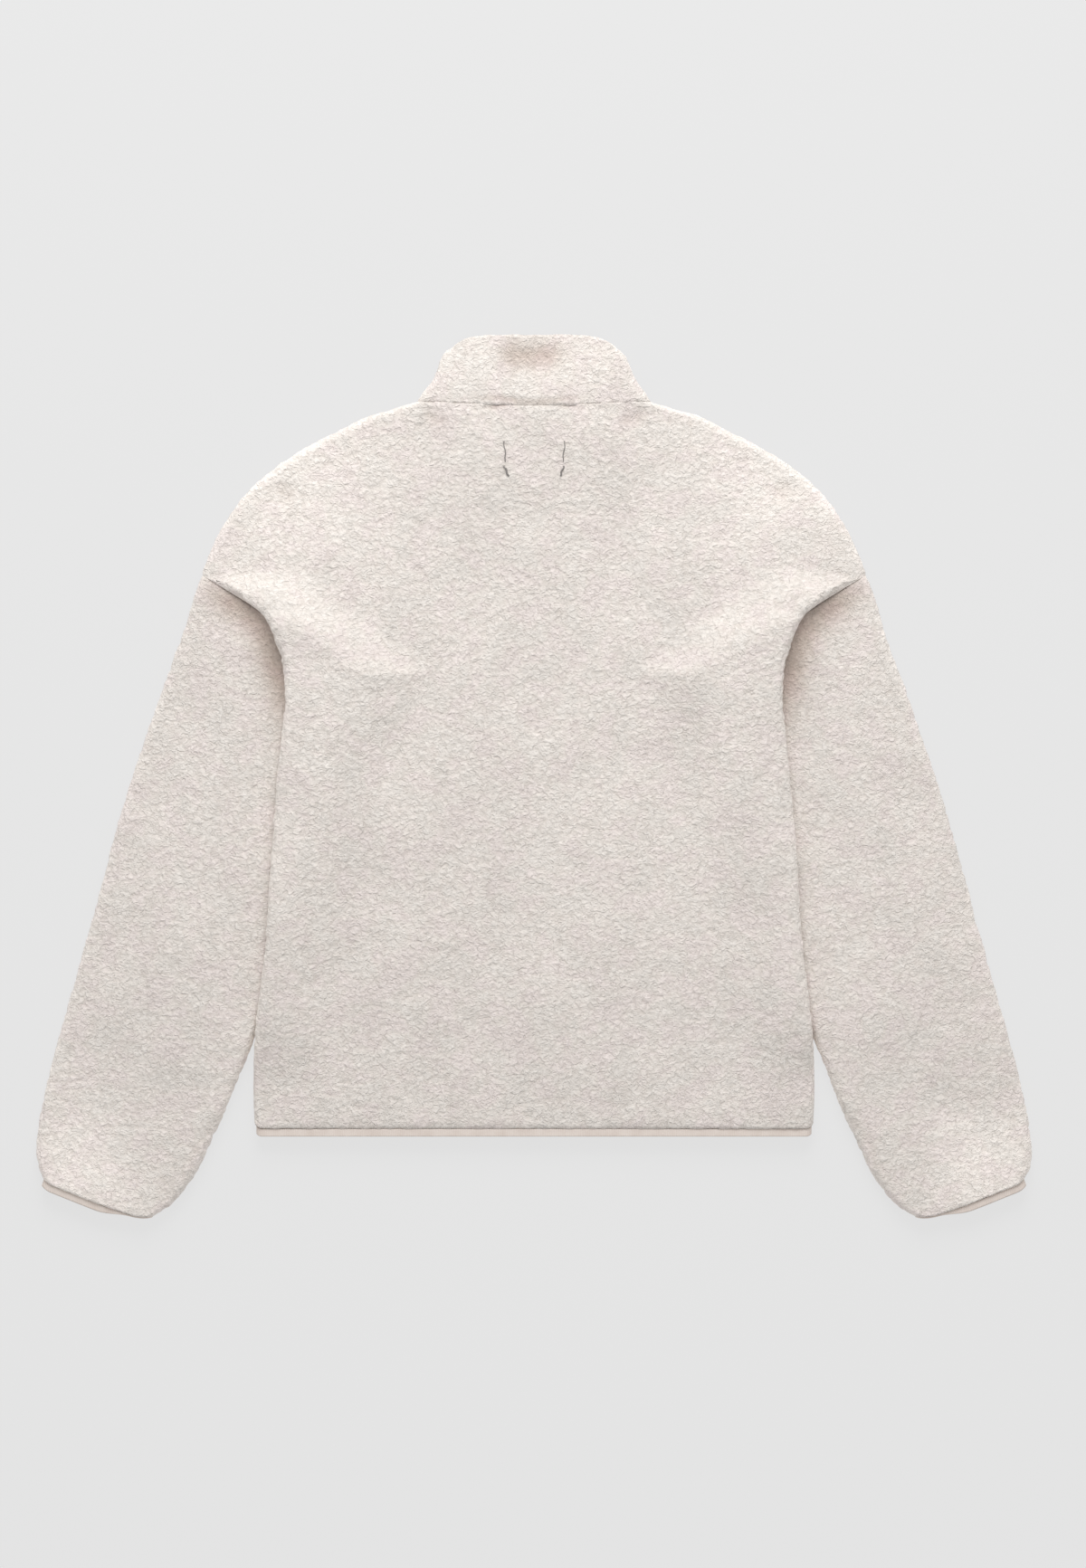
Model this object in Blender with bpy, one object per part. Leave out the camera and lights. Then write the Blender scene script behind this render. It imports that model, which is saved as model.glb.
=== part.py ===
"""Sherpa jacket laid flat on its front, sleeves folded down beneath the body's sides.

Every length below is in millimetres. x runs across the shoulders, y from the hem towards the collar
and z up from the surface that the jacket lies on. The right half is built and mirrored.
"""

import math

import bmesh
import bpy
import numpy as np

MM = 0.001
SEAM_GAP = 0.3
HALF_GAP = SEAM_GAP / 2
FRAME_CENTRE_Y = 333.27

# Cloth: the backing and the curled pile on it are one wall.
WALL = 6.5
EDGE_RADIUS = 8.0
FLAT_HEIGHT = 2 * EDGE_RADIUS
SEAM_RADIUS = EDGE_RADIUS - HALF_GAP
PLEAT_RADIUS = 7.25
WRAP_RADIUS = EDGE_RADIUS + 0.45
CLIMB_LENGTH = 75.0
# The climb moves out past the sleeve's edge, from nothing at the first height to all at the second.
CLIMB_PAST_EDGE, CLIMB_MOVES = 15.0, (519.0, 345.0)

# Plan landmarks on the right half (x, y).
BACK_NECK_Y = 683.0
SLEEVE_TOP = np.array((311.5, 524.5))
ARMPIT = np.array((158.0, 430.0))
HEM_Y = 5.5
FRONT_EDGE_X = 7.0
FRONT_NECK_DROP = 60.0

# Shoulder line and the sleeve's outer edge: height above the hem, half width.
OUTER_EDGE = (
    (687.0, 110.0), (682.6, 124.0), (677.5, 138.0), (674.0, 153.0), (657.1, 187.4),
    (640.1, 220.0), (623.1, 245.2), (606.1, 265.0), (589.1, 279.7), (572.1, 290.9),
    (555.1, 300.0), (538.1, 307.2), (521.1, 313.2), (504.1, 319.0), (470.1, 329.5),
    (436.1, 341.5), (385.1, 359.5), (317.1, 382.5), (249.1, 401.5), (181.1, 420.0),
    (113.1, 439.0), (45.1, 457.3), (11.1, 464.0), (-14.5, 466.6), (-31.5, 465.6), (-44.0, 461.5),
)
# The sleeve's inner edge, hidden by the body above height 88: height, half width.
INNER_EDGE = (
    (430.0, 158.0), (340.0, 187.0), (250.0, 214.0), (160.0, 240.5), (87.6, 263.5),
    (44.2, 281.0), (12.8, 294.1), (-17.0, 307.7), (-43.4, 321.3), (-60.0, 332.0), (-74.0, 345.0),
    (-82.0, 356.0),
)
# The body's side edge, over the sleeve: height, half width.
SIDE_EDGE = (
    (430.0, 232.0), (402.0, 232.3), (364.0, 236.3), (321.0, 240.6), (279.0, 244.0),
    (236.0, 246.8), (172.6, 251.2), (108.8, 259.0), (87.6, 261.3), (45.0, 263.4), (5.5, 262.4),
)
# Edge of the fold over the sleeve head, from its foot up to the outer edge: height, half width.
FOLD_EDGE = (
    (405.0, 232.3), (419.0, 232.1), (444.6, 235.5), (461.6, 240.6), (476.9, 246.5),
    (487.1, 253.3), (497.0, 263.5), (505.0, 278.8),
)
# Rows of the body across the shoulder: height at the centre line, half width at the outer edge,
# and how far the row's slant draws out the edge's roll.
SHOULDER_ROWS = (
    (683.0, 110.0, 1.3), (672.0, 136.0, 1.9), (660.0, 166.0, 2.2), (648.0, 196.0, 2.1),
    (635.0, 224.0, 1.9), (621.0, 251.0, 1.7), (608.0, 276.0, 1.5), (596.0, 297.0, 1.35),
    (587.0, 311.5, 1.2),
)
# Rows of the back that end at the sleeve's top layer: distance from the outer edge, height at the
# centre line, height of the seam, direction in which the cloth leaves the seam, straight length.
ARMHOLE_ROWS = (
    (2.4, 585.0, 13.8, 135.0, 0.0), (8.0, 582.0, 16.2, 176.0, 1.0),
    (20.0, 575.0, 16.3, 152.0, 5.0), (36.0, 564.0, 16.3, 122.0, 5.0),
    (54.0, 551.0, 16.3, 90.0, 3.5), (72.0, 536.0, 16.3, 45.0, 0.0),
    (92.0, 519.0, 16.3, 15.0, 0.0), (114.0, 499.0, 16.3, 5.0, 0.0),
    (140.0, 474.0, 16.4, 1.0, 0.0), (172.0, 446.0, 16.6, 0.0, 0.0),
)
# Rows of the back round the armpit: angle down the sleeve's rolled edge, height at the centre line.
ARMPIT_ROWS = ((60.0, 443.0), (30.0, 440.5), (0.0, 438.0))
# Rows of the body's side: height, angle through which the back wraps the sleeve's inner edge.
SIDE_ROWS = (
    (408.0, 90.0), (380.0, 90.0), (345.0, 90.0), (308.0, 90.0), (270.0, 90.0), (232.0, 90.0),
    (200.0, 90.0), (172.0, 86.0), (150.0, 79.0), (130.0, 68.0), (108.8, 52.0), (87.6, 32.0),
    (66.0, 13.0), (45.0, 0.0), (24.0, 0.0), (HEM_Y, 0.0),
)
# Shallow dents in the back: x, y, radius across, radius along, depth.
BACK_DENTS = (
    (-93.5, 487.0, 38.0, 30.0, 1.3), (76.5, 428.0, 40.0, 26.0, 1.3), (119.0, 360.0, 34.0, 26.0, 1.1),
    (-127.5, 360.0, 30.0, 24.0, 1.1), (-70.0, 336.0, 34.0, 24.0, 1.2), (93.5, 249.0, 42.0, 28.0, 1.3),
    (8.5, 164.0, 46.0, 30.0, 1.1), (161.5, 156.0, 34.0, 26.0, 1.0), (-178.5, 164.0, 34.0, 26.0, 1.0),
    (-34.0, 575.0, 44.0, 22.0, 1.3), (0.0, 90.0, 120.0, 16.0, 0.7), (-96.0, 230.0, 30.0, 26.0, 1.0),
)
# How far the front neckline sags below a straight row, the first four rows.
NECK_BOWS = (15.0, 9.0, 4.5, 1.5)
NECK_LOSS = 59.3
SIDE_SEAM_GAP = 0.7
# Rows of the side climb towards the centre line above this height, by this share.
SIDE_CLIMB_FROM, SIDE_CLIMB = 385.0, 0.35
# The sleeve: ends of its first and last row, and how far the cuff bows beyond a straight line.
CUFF_OUTER_Y = -44.0
CUFF_INNER_Y = -82.0
CUFF_BOW, CUFF_BOW_FROM = 2.0, 0.72
SLEEVE_DENTS = (
    (352.0, 300.0, 26.0, 60.0, 1.0), (330.0, 400.0, 30.0, 26.0, 1.1), (372.0, 120.0, 24.0, 50.0, 1.0),
    (330.0, 30.0, 22.0, 40.0, 1.2), (420.0, 200.0, 20.0, 50.0, 0.8), (410.0, 20.0, 24.0, 40.0, 0.8),
)
# Collar rows from its seam up: height at the centre, half width, rise and drop towards the sides.
COLLAR_ROWS = (
    (683.3, 110.0, 4.0, 0.0), (694.0, 103.0, 3.0, 0.0), (706.0, 95.0, 1.5, 0.0),
    (720.0, 89.5, 0.0, 0.0), (732.0, 85.5, 0.0, 1.5), (742.0, 81.0, 0.0, 7.0), (749.5, 77.0, 0.0, 12.0),
)
# Folded stretch binding that closes the hem and the cuffs.
BINDING_THICK = 3.2
HEM_BINDING = (5.2, -2.0)
# The cuff's binding: how far it shows, its least reach, and the share of the width where it hides.
CUFF_BINDING, CUFF_BINDING_LEAST = 5.4, 1.2
CUFF_BINDING_FADE = (0.5, 0.3)
# Front zip, under the body: heights of its parts above the floor.
TAPE_LOW, TAPE_HIGH, TAPE_WIDE = 6.8, 7.7, 14.0
BEAD_LOW, BEAD_WIDE = 5.2, 2.4
ZIP_TOP_Y, ZIP_LOW_Y = 683.0, 8.6
SLIDER_LOW_Y, SLIDER_HIGH_Y = 664.0, 673.0
SLIDER_HALF, SLIDER_POST = 4.0, 1.1
SLIDER_OUTER, SLIDER_INNER = (3.95, 4.9), (8.0, 8.9)
TAPE_SPREAD = 1.5
PULL_AXIS_Z, PULL_BAR, PULL_HOLE, PULL_EYE = 2.0, 0.8, 1.15, 1.65
PULL_THICK, PULL_HALF, PULL_LENGTH, PULL_NECK = 1.4, 2.6, 24.0, 3.0
LUG_IN, LUG_OUT, LUG_REACH, SLIDER_SINK = 2.2, 3.4, 1.3, 0.4
BOX_HALF, BOX_LOW, BOX_HIGH, BOX_BOTTOM_Y = 3.4, 4.2, 8.6, 0.4
FOLD_STEPS = 10
TOP_STEPS = 8
FRONT_ROLL_STEPS = 4
FRONT_FLAT_STEPS = 4
FRONT_ARMHOLE_STEP = 3.0
SLEEVE_ROWS = 22


def curve(table, column=1):
    """Smooth function of a table's first column."""
    rows = np.array(sorted(table), dtype=float)
    keys = rows[:, 0]
    values = rows[:, column]
    slopes = np.gradient(values, keys)

    def value(key):
        key = np.clip(key, keys[0], keys[-1])
        i = int(np.clip(np.searchsorted(keys, key) - 1, 0, len(keys) - 2))
        width = keys[i + 1] - keys[i]
        t = (key - keys[i]) / width
        rise = (2 * t**3 - 3 * t**2 + 1) * values[i] + (3 * t**2 - 2 * t**3) * values[i + 1]
        bend = (t**3 - 2 * t**2 + t) * slopes[i] + (t**3 - t**2) * slopes[i + 1]
        return float(rise + width * bend)

    return value


outer_edge = curve(OUTER_EDGE)
inner_edge = curve(INNER_EDGE)
side_edge = curve(SIDE_EDGE)
fold_edge = curve(FOLD_EDGE)
shoulder_height = curve([(half, height) for height, half in OUTER_EDGE if height > 515.0])
ARMHOLE_LENGTH = float(np.linalg.norm(ARMPIT - SLEEVE_TOP))
ARMHOLE_WAY = (ARMPIT - SLEEVE_TOP) / ARMHOLE_LENGTH
ARMHOLE_NORMAL = np.array((ARMHOLE_WAY[1], -ARMHOLE_WAY[0]))


def smoothstep(t):
    t = min(max(t, 0.0), 1.0)
    return t * t * (3 - 2 * t)


def unit(vector):
    return np.array(vector) / np.linalg.norm(vector)


def dents(x, y, table):
    """Height taken from a top surface by its shallow dents."""
    total = 0.0
    for centre_x, centre_y, across, along, depth in table:
        total -= depth * math.exp(-(((x - centre_x) / across) ** 2) - ((y - centre_y) / along) ** 2)
    return total


def shifted(points, headings, distance):
    """Points moved to the left of the way in which they are travelled."""
    left = np.stack((-np.sin(headings), np.cos(headings)), axis=1)
    return points + distance * left


def resampled(points, others, headings, steps, length_scale, angle_scale):
    """A path and its backing thinned to an even mix of length and turning."""
    lengths = np.linalg.norm(np.diff(points, axis=0), axis=1)
    turns = np.abs(np.degrees(np.diff(headings)))
    measure = np.concatenate(((0.0,), np.cumsum(lengths / length_scale + turns / angle_scale)))
    wanted = np.linspace(0.0, measure[-1], steps + 1)
    first = np.stack([np.interp(wanted, measure, points[:, i]) for i in range(2)], axis=1)
    second = np.stack([np.interp(wanted, measure, others[:, i]) for i in range(2)], axis=1)
    return first, second


def unit_at(angle):
    return np.array((math.cos(angle), math.sin(angle)))


def fold_path(row):
    """Pile and backing side of a row, from its seam to where its top layer starts.

    The cloth follows the sleeve's rolled edge, runs straight outwards and rolls back over itself.
    """
    start, stop = math.radians(row["arc_from"]), math.radians(row["arc_to"])
    heading = math.radians(row["heading"])
    radius = row["radius"]
    wrap = WRAP_RADIUS if stop > start else 0.0
    across = wrap * (math.cos(start) - math.cos(stop)) + radius * (1.0 - math.sin(heading))
    straight = row["straight"]
    if row["reach"] is not None and math.cos(heading) > 0.02:
        straight = max(straight, (row["reach"] / row["stretch"] - across) / math.cos(heading))
    points = [np.zeros(2)]
    headings = [math.pi / 2 - start if wrap else heading]
    if wrap:
        for angle in np.linspace(start, stop, 13)[1:]:
            step = (math.cos(start) - math.cos(angle), math.sin(angle) - math.sin(start))
            points.append(wrap * np.array(step))
            headings.append(math.pi / 2 - angle)
    for _ in range(8 if straight > 0.0 else 0):
        points.append(points[-1] + straight / 8 * unit_at(heading))
        headings.append(heading)
    origin = points[-1] + radius * np.array((-math.sin(heading), math.cos(heading)))
    for angle in np.linspace(heading, math.pi, 25)[1:]:
        points.append(origin + radius * np.array((math.sin(angle), -math.cos(angle))))
        headings.append(angle)
    points, headings = np.array(points), np.array(headings)
    backing = shifted(points, headings, WALL)
    first, second = resampled(points, backing, headings, FOLD_STEPS, 24.0, 20.0)
    squeeze = np.array((row["stretch"], 1.0))
    return first * squeeze, second * squeeze


def top_path(row, start, height):
    """Pile and backing side of a row's top layer, from its fold to the centre line."""
    peak = min(row["hinge_u"] + row["peak"], start)
    foot = peak - CLIMB_LENGTH
    distance = np.linspace(start, 0.0, 121)
    rise = np.array([smoothstep((u - foot) / CLIMB_LENGTH) for u in distance])
    tall = FLAT_HEIGHT + (height - FLAT_HEIGHT) * rise
    way = row["way"]
    low = []
    for u, part in zip(distance, rise):
        x, y = np.array((0.0, row["centre_y"])) + u * way
        fade = smoothstep((start - u) / 40.0) * (1.0 - 0.6 * part)
        low.append(fade * (dents(x, y, BACK_DENTS) + dents(-x, y, BACK_DENTS)) / 2)
    tall = tall + np.array(low)
    slope = np.gradient(tall, distance)
    points = np.stack((distance, tall), axis=1)
    backing = np.stack((distance, tall - WALL * np.sqrt(1 + slope**2)), axis=1)
    return resampled(points, backing, np.arctan(slope), TOP_STEPS, 30.0, 12.0)


def back_row(centre_y, hinge, hinge_z, **shape):
    """Pile and backing side of one row of the back's right half, seam first, in space."""
    row = {
        "arc_from": 0.0, "arc_to": 0.0, "heading": 90.0, "straight": 0.0, "reach": None,
        "radius": SEAM_RADIUS, "peak": 0.0, "tangent": None,
    }
    row.update(shape)
    centre = np.array((0.0, centre_y))
    row["way"] = unit(hinge - centre)
    row["centre_y"] = centre_y
    row["hinge_u"] = float(np.linalg.norm(hinge - centre))
    if row["tangent"] is not None:
        row["stretch"] = 1.0 / abs(float(np.cross(row["way"], row["tangent"])))
    fold, fold_backing = fold_path(row)
    lift = np.array((row["hinge_u"], hinge_z))
    fold, fold_backing = fold + lift, fold_backing + lift
    top, top_backing = top_path(row, fold[-1][0], fold[-1][1])
    flat = np.concatenate((fold, top[1:]))
    flat_backing = np.concatenate((fold_backing, top_backing[1:]))
    return placed(flat, centre, row["way"]), placed(flat_backing, centre, row["way"])


def placed(flat, centre, way):
    """Points of a row's plane in space."""
    plan = centre + flat[:, :1] * way
    return np.concatenate((plan, flat[:, 1:]), axis=1)


def tangent_of(edge, height):
    """Direction in plan of an edge given as half width over height."""
    return unit((edge(height + 2.0) - edge(height - 2.0), 4.0))


def fold_reach(centre_y, hinge):
    """Distance along a row from its seam to the visible edge of the fold."""
    centre = np.array((0.0, centre_y))
    way = unit(hinge - centre)
    for distance in np.arange(0.0, 120.0, 0.25):
        x, y = hinge + distance * way
        if x >= fold_edge(y):
            return distance
    return 0.0


def wrap_radius_of(angle):
    return SEAM_RADIUS - (SEAM_RADIUS - PLEAT_RADIUS) * min(angle / 90.0, 1.0)


def side_seam(height, angle):
    """Plan point of the hidden side seam, beside the sleeve's inner edge."""
    edge = side_edge(height)
    reach = (WRAP_RADIUS + wrap_radius_of(angle)) * (1.0 - math.cos(math.radians(angle)))
    if angle > 85.0:
        reach = max(reach, edge - inner_edge(height) + SIDE_SEAM_GAP)
    return np.array((edge - reach, height))


def climb_past(height):
    """How far past a row's seam its top layer has come to its full height."""
    first, last = CLIMB_MOVES
    return CLIMB_PAST_EDGE * smoothstep((first - height) / (first - last))


def centre_of_side_row(height):
    return height + SIDE_CLIMB * max(height - SIDE_CLIMB_FROM, 0.0)


def back_rows():
    """All rows of the back's right half, collar to hem."""
    rows = []
    seam_z = EDGE_RADIUS + HALF_GAP
    for centre_y, half, stretch in SHOULDER_ROWS:
        hinge = np.array((half, shoulder_height(half)))
        rows.append(back_row(centre_y, hinge, seam_z, stretch=stretch))
    for along, centre_y, height, heading, straight in ARMHOLE_ROWS:
        hinge = SLEEVE_TOP + along * ARMHOLE_WAY + HALF_GAP * ARMHOLE_NORMAL
        reach = fold_reach(centre_y, hinge) if heading < 90.0 else None
        end = hinge + (reach or 0.0) * unit(hinge - np.array((0.0, centre_y)))
        tangent = tangent_of(fold_edge, end[1]) if heading <= 90.0 else unit((0.8, 0.6))
        rows.append(
            back_row(
                centre_y, hinge, height, heading=heading, straight=straight, reach=reach,
                radius=PLEAT_RADIUS, peak=climb_past(centre_y), tangent=tangent,
            )
        )
    for angle, centre_y in ARMPIT_ROWS:
        around = WRAP_RADIUS * math.cos(math.radians(angle))
        hinge = ARMPIT - ARMHOLE_WAY * (EDGE_RADIUS - around)
        height = seam_z + WRAP_RADIUS * math.sin(math.radians(angle))
        rows.append(
            back_row(
                centre_y, hinge, height, arc_from=angle, arc_to=90.0, heading=0.0,
                reach=fold_reach(centre_y, hinge), radius=PLEAT_RADIUS, peak=climb_past(centre_y),
                tangent=tangent_of(side_edge, 420.0),
            )
        )
    for height, angle in SIDE_ROWS:
        edge = side_edge(height)
        radius = wrap_radius_of(angle)
        hinge = side_seam(height, angle)
        reach = edge - hinge[0]
        rows.append(
            back_row(
                centre_of_side_row(height), hinge, seam_z, arc_from=0.0, arc_to=angle,
                heading=90.0 - angle, reach=reach, radius=radius, peak=climb_past(height),
                tangent=tangent_of(side_edge, height),
            )
        )
    return rows


def both_halves(rows):
    """Right half rows, seam first, joined with their mirror images across the centre line."""
    grid = []
    for row in rows:
        mirrored = row * np.array((-1.0, 1.0, 1.0))
        grid.append(np.concatenate((row, mirrored[::-1][1:])))
    return np.array(grid)


def wall(name, pile, backing, look, ring=False):
    """A closed wall between two grids of points, its open edges closed by rims."""
    rows, columns = pile.shape[:2]
    count = rows * columns
    points = np.concatenate((pile.reshape(-1, 3), backing.reshape(-1, 3)))
    around = columns if ring else columns - 1
    faces = []
    for r in range(rows - 1):
        for c in range(around):
            a, b = r * columns + c, r * columns + (c + 1) % columns
            d, e = a + columns, b + columns
            faces.append((a, b, e, d))
            faces.append((count + a, count + d, count + e, count + b))
    last = (rows - 1) * columns
    for c in range(around):
        a, b = c, (c + 1) % columns
        faces.append((a, count + a, count + b, b))
        faces.append((last + a, last + b, count + last + b, count + last + a))
    if not ring:
        for r in range(rows - 1):
            for c in (0, columns - 1):
                a, b = r * columns + c, (r + 1) * columns + c
                faces.append((a, b, count + b, count + a))
    return solid(name, points, faces, look)


def solid(name, points, faces, look):
    """A mesh object in metres whose faces point out."""
    points = (np.array(points, dtype=float) - np.array((0.0, FRAME_CENTRE_Y, 0.0))) * MM
    mesh = bpy.data.meshes.new(name)
    mesh.from_pydata([tuple(point) for point in points], [], faces)
    shape = bmesh.new()
    shape.from_mesh(mesh)
    bmesh.ops.recalc_face_normals(shape, faces=shape.faces)
    bmesh.ops.triangulate(shape, faces=shape.faces)
    shape.to_mesh(mesh)
    shape.free()
    made = bpy.data.objects.new(name, mesh)
    made.data.materials.append(material(name, *look))
    bpy.context.scene.collection.objects.link(made)
    return made


def material(node, finish, colour, roughness, metallic):
    made = bpy.data.materials.new(node + "_" + finish)
    made.use_nodes = True
    shader = made.node_tree.nodes["Principled BSDF"]
    shader.inputs["Base Color"].default_value = (*colour, 1.0)
    shader.inputs["Roughness"].default_value = roughness
    shader.inputs["Metallic"].default_value = metallic
    return made


PILE = ("pile", (0.66, 0.60, 0.51), 0.95, 0.0)
BINDING = ("binding", (0.74, 0.62, 0.52), 0.85, 0.0)
TAPE = ("zip_tape", (0.62, 0.57, 0.49), 0.8, 0.0)
METAL = ("zip_metal", (0.62, 0.6, 0.56), 0.35, 1.0)


def front_row(start, hinge, roll_from, stretch, bow):
    """Pile and backing side of one row of a front, side seam first.

    roll_from is the angle of the edge's roll already taken up by the sleeve's rolled edge.
    """
    way = unit(hinge - start)
    length = float(np.linalg.norm(hinge - start))
    first = math.radians(roll_from)
    inside = SEAM_RADIUS - WALL
    pile, backing = [], []
    for step in range(FRONT_ROLL_STEPS + 1):
        if roll_from < 90.0:
            angle = first + (math.pi / 2 - first) * step / FRONT_ROLL_STEPS
            outer = SEAM_RADIUS * (math.cos(first) - math.cos(angle))
            inner = SEAM_RADIUS * math.cos(first) - inside * math.cos(angle)
            pile.append((length - outer * stretch, SEAM_RADIUS * (1 - math.sin(angle))))
            backing.append((length - inner * stretch, SEAM_RADIUS - inside * math.sin(angle)))
        else:
            pile.append((length - FRONT_ARMHOLE_STEP * step, 0.0))
            backing.append((length - FRONT_ARMHOLE_STEP * step, WALL))
    for i in range(1, FRONT_FLAT_STEPS + 1):
        part = i / FRONT_FLAT_STEPS
        pile.append((pile[FRONT_ROLL_STEPS][0] * (1 - part), 0.0))
        backing.append((backing[FRONT_ROLL_STEPS][0] * (1 - part), WALL))
    result = []
    for flat in (np.array(pile), np.array(backing)):
        points = placed(flat, start, way)
        share = np.clip(flat[:, 0] / length, 0.0, 1.0)
        points[:, 1] -= bow * 4 * share * (1 - share)
        result.append(points)
    return result


def front_rows():
    """All rows of the right front, neck to hem."""
    ends = []
    for number, (centre_y, half, stretch) in enumerate(SHOULDER_ROWS):
        hinge = np.array((half, shoulder_height(half)))
        ends.append((centre_y, hinge, 0.0, stretch, NECK_BOWS[number] if number < 4 else 0.0))
    for along, centre_y, height, _, _ in ARMHOLE_ROWS:
        hinge = SLEEVE_TOP + along * ARMHOLE_WAY + HALF_GAP * ARMHOLE_NORMAL
        ends.append((centre_y, hinge, 90.0 if along > 5.0 else 45.0, 1.2, 0.0))
    for angle, centre_y in ARMPIT_ROWS:
        around = EDGE_RADIUS * (1.0 - math.cos(math.radians(angle)))
        hinge = ARMPIT - ARMHOLE_WAY * (around - SEAM_GAP) + SEAM_GAP * ARMHOLE_NORMAL
        ends.append((centre_y, hinge, angle, 1.05, 0.0))
    for height, angle in SIDE_ROWS:
        ends.append((centre_of_side_row(height), side_seam(height, angle), 0.0, 1.05, 0.0))
    rows = []
    for centre_y, hinge, roll_from, stretch, bow in ends:
        share = max(centre_y - 440.0, 0.0) / (BACK_NECK_Y - 440.0)
        start = np.array((FRONT_EDGE_X, centre_y - NECK_LOSS * share**2))
        rows.append(front_row(start, hinge, roll_from, stretch, bow))
    return rows


def stadium(width, top_z):
    """Pile and backing side of a flattened tube's section: distance from the outer edge, height.

    It starts under the outer edge's roll and runs over the top to the inner edge and back beneath.
    """
    pile, backing = [], []
    inside = EDGE_RADIUS - WALL
    roll = np.radians(np.linspace(-90.0, 90.0, 7))
    for angle in roll:
        direction = np.array((-math.cos(angle), math.sin(angle)))
        pile.append(np.array((EDGE_RADIUS, EDGE_RADIUS)) + EDGE_RADIUS * direction)
        backing.append(np.array((EDGE_RADIUS, EDGE_RADIUS)) + inside * direction)
    flat = width - 2 * EDGE_RADIUS
    for part in np.linspace(0.0, 1.0, 6)[1:-1]:
        low = top_z(EDGE_RADIUS + part * flat)
        pile.append(np.array((EDGE_RADIUS + part * flat, FLAT_HEIGHT + low)))
        backing.append(np.array((EDGE_RADIUS + part * flat, FLAT_HEIGHT + low - WALL)))
    for angle in roll[::-1]:
        direction = np.array((math.cos(angle), math.sin(angle)))
        pile.append(np.array((width - EDGE_RADIUS, EDGE_RADIUS)) + EDGE_RADIUS * direction)
        backing.append(np.array((width - EDGE_RADIUS, EDGE_RADIUS)) + inside * direction)
    for part in (0.67, 0.33):
        pile.append(np.array((EDGE_RADIUS + part * flat, 0.0)))
        backing.append(np.array((EDGE_RADIUS + part * flat, WALL)))
    return np.array(pile), np.array(backing)


def sleeve_line(share):
    """Outer and inner end of a sleeve row, and how far it bows towards the cuff."""
    outer_y = SLEEVE_TOP[1] + (CUFF_OUTER_Y - SLEEVE_TOP[1]) * share
    inner_y = ARMPIT[1] + (CUFF_INNER_Y - ARMPIT[1]) * share
    outer = np.array((outer_edge(outer_y), outer_y))
    inner = np.array((inner_edge(inner_y), inner_y))
    if share == 0.0:
        outer = SLEEVE_TOP - HALF_GAP * ARMHOLE_NORMAL
        inner = ARMPIT - HALF_GAP * ARMHOLE_NORMAL
    return outer, inner, CUFF_BOW * smoothstep((share - CUFF_BOW_FROM) / (1 - CUFF_BOW_FROM))


def bowed(share, bow):
    return bow * math.sin(math.pi * min(max(share, 0.0), 1.0) ** 1.3)


def sleeve_grids():
    """Pile and backing grids of the right sleeve."""
    pile, backing = [], []
    for number in range(SLEEVE_ROWS + 1):
        outer, inner, bow = sleeve_line(number / SLEEVE_ROWS)
        way = unit(inner - outer)
        width = float(np.linalg.norm(inner - outer))

        def low(distance):
            x, y = outer + distance * way
            return dents(x, y, SLEEVE_DENTS)

        for flat, rows in zip(stadium(width, low), (pile, backing)):
            points = placed(flat, outer, way)
            points[:, 1] -= [bowed(share, bow) for share in flat[:, 0] / width]
            rows.append(points)
    return np.array(pile), np.array(backing)


def cuff_binding_grids():
    """Outer and inner grids of the binding that runs round the right cuff."""
    outer, inner, bow = sleeve_line(1.0)
    way = unit(inner - outer)
    width = float(np.linalg.norm(inner - outer))
    down = np.array((-way[1], way[0]))
    pile, backing = stadium(width, lambda distance: dents(*(outer + distance * way), SLEEVE_DENTS))
    depth_in = (WALL - BINDING_THICK) / 2 / WALL
    sections = (pile + (backing - pile) * depth_in, pile + (backing - pile) * (1 - depth_in))
    grids = []
    for flat in sections:
        rows = []
        for edge in (0.0, 1.0):
            points = placed(flat, outer, way)
            for point, share in zip(points, flat[:, 0] / width):
                shown = 1 - smoothstep((share - CUFF_BINDING_FADE[0]) / CUFF_BINDING_FADE[1])
                reach = SEAM_GAP + edge * (CUFF_BINDING_LEAST + CUFF_BINDING * shown)
                point[:2] += down * reach
                point[1] -= bowed(share, bow)
            rows.append(points)
        grids.append(np.array(rows))
    return grids


def collar_grids():
    """Pile and backing grids of the collar, a band from zip edge to zip edge round the back."""
    pile, backing = [], []
    inside = EDGE_RADIUS - WALL
    angles = np.radians(np.linspace(-90.0, 90.0, 6))
    heights = [row[0] for row in COLLAR_ROWS]
    halves = np.gradient([row[1] for row in COLLAR_ROWS], heights)
    for (centre_y, half, rise, drop), slope in zip(COLLAR_ROWS, halves):
        stretch = min(math.sqrt(1.0 + slope**2), 1.3)
        bend = half - EDGE_RADIUS * stretch
        shares = None
        for radius, low, rows in ((EDGE_RADIUS, 0.0, pile), (inside, WALL, backing)):
            section = [(x, low) for x in np.linspace(FRONT_EDGE_X, bend, 5)[:-1]]
            for angle in angles:
                across = bend + radius * stretch * math.cos(angle)
                section.append((across, EDGE_RADIUS + radius * math.sin(angle)))
            section += [(x, FLAT_HEIGHT - low) for x in np.linspace(bend, 0.0, 6)[1:]]
            shares = shares or [min(x / half, 1.0) for x, _ in section]
            points = []
            for (x, z), share in zip(section, shares):
                y = centre_y + rise * share - drop * share**6
                if z < EDGE_RADIUS:
                    y -= FRONT_NECK_DROP * (1 - share**2)
                points.append((x, y, z))
            rows.append(np.array(points))
    return both_halves(pile), both_halves(backing)


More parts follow.
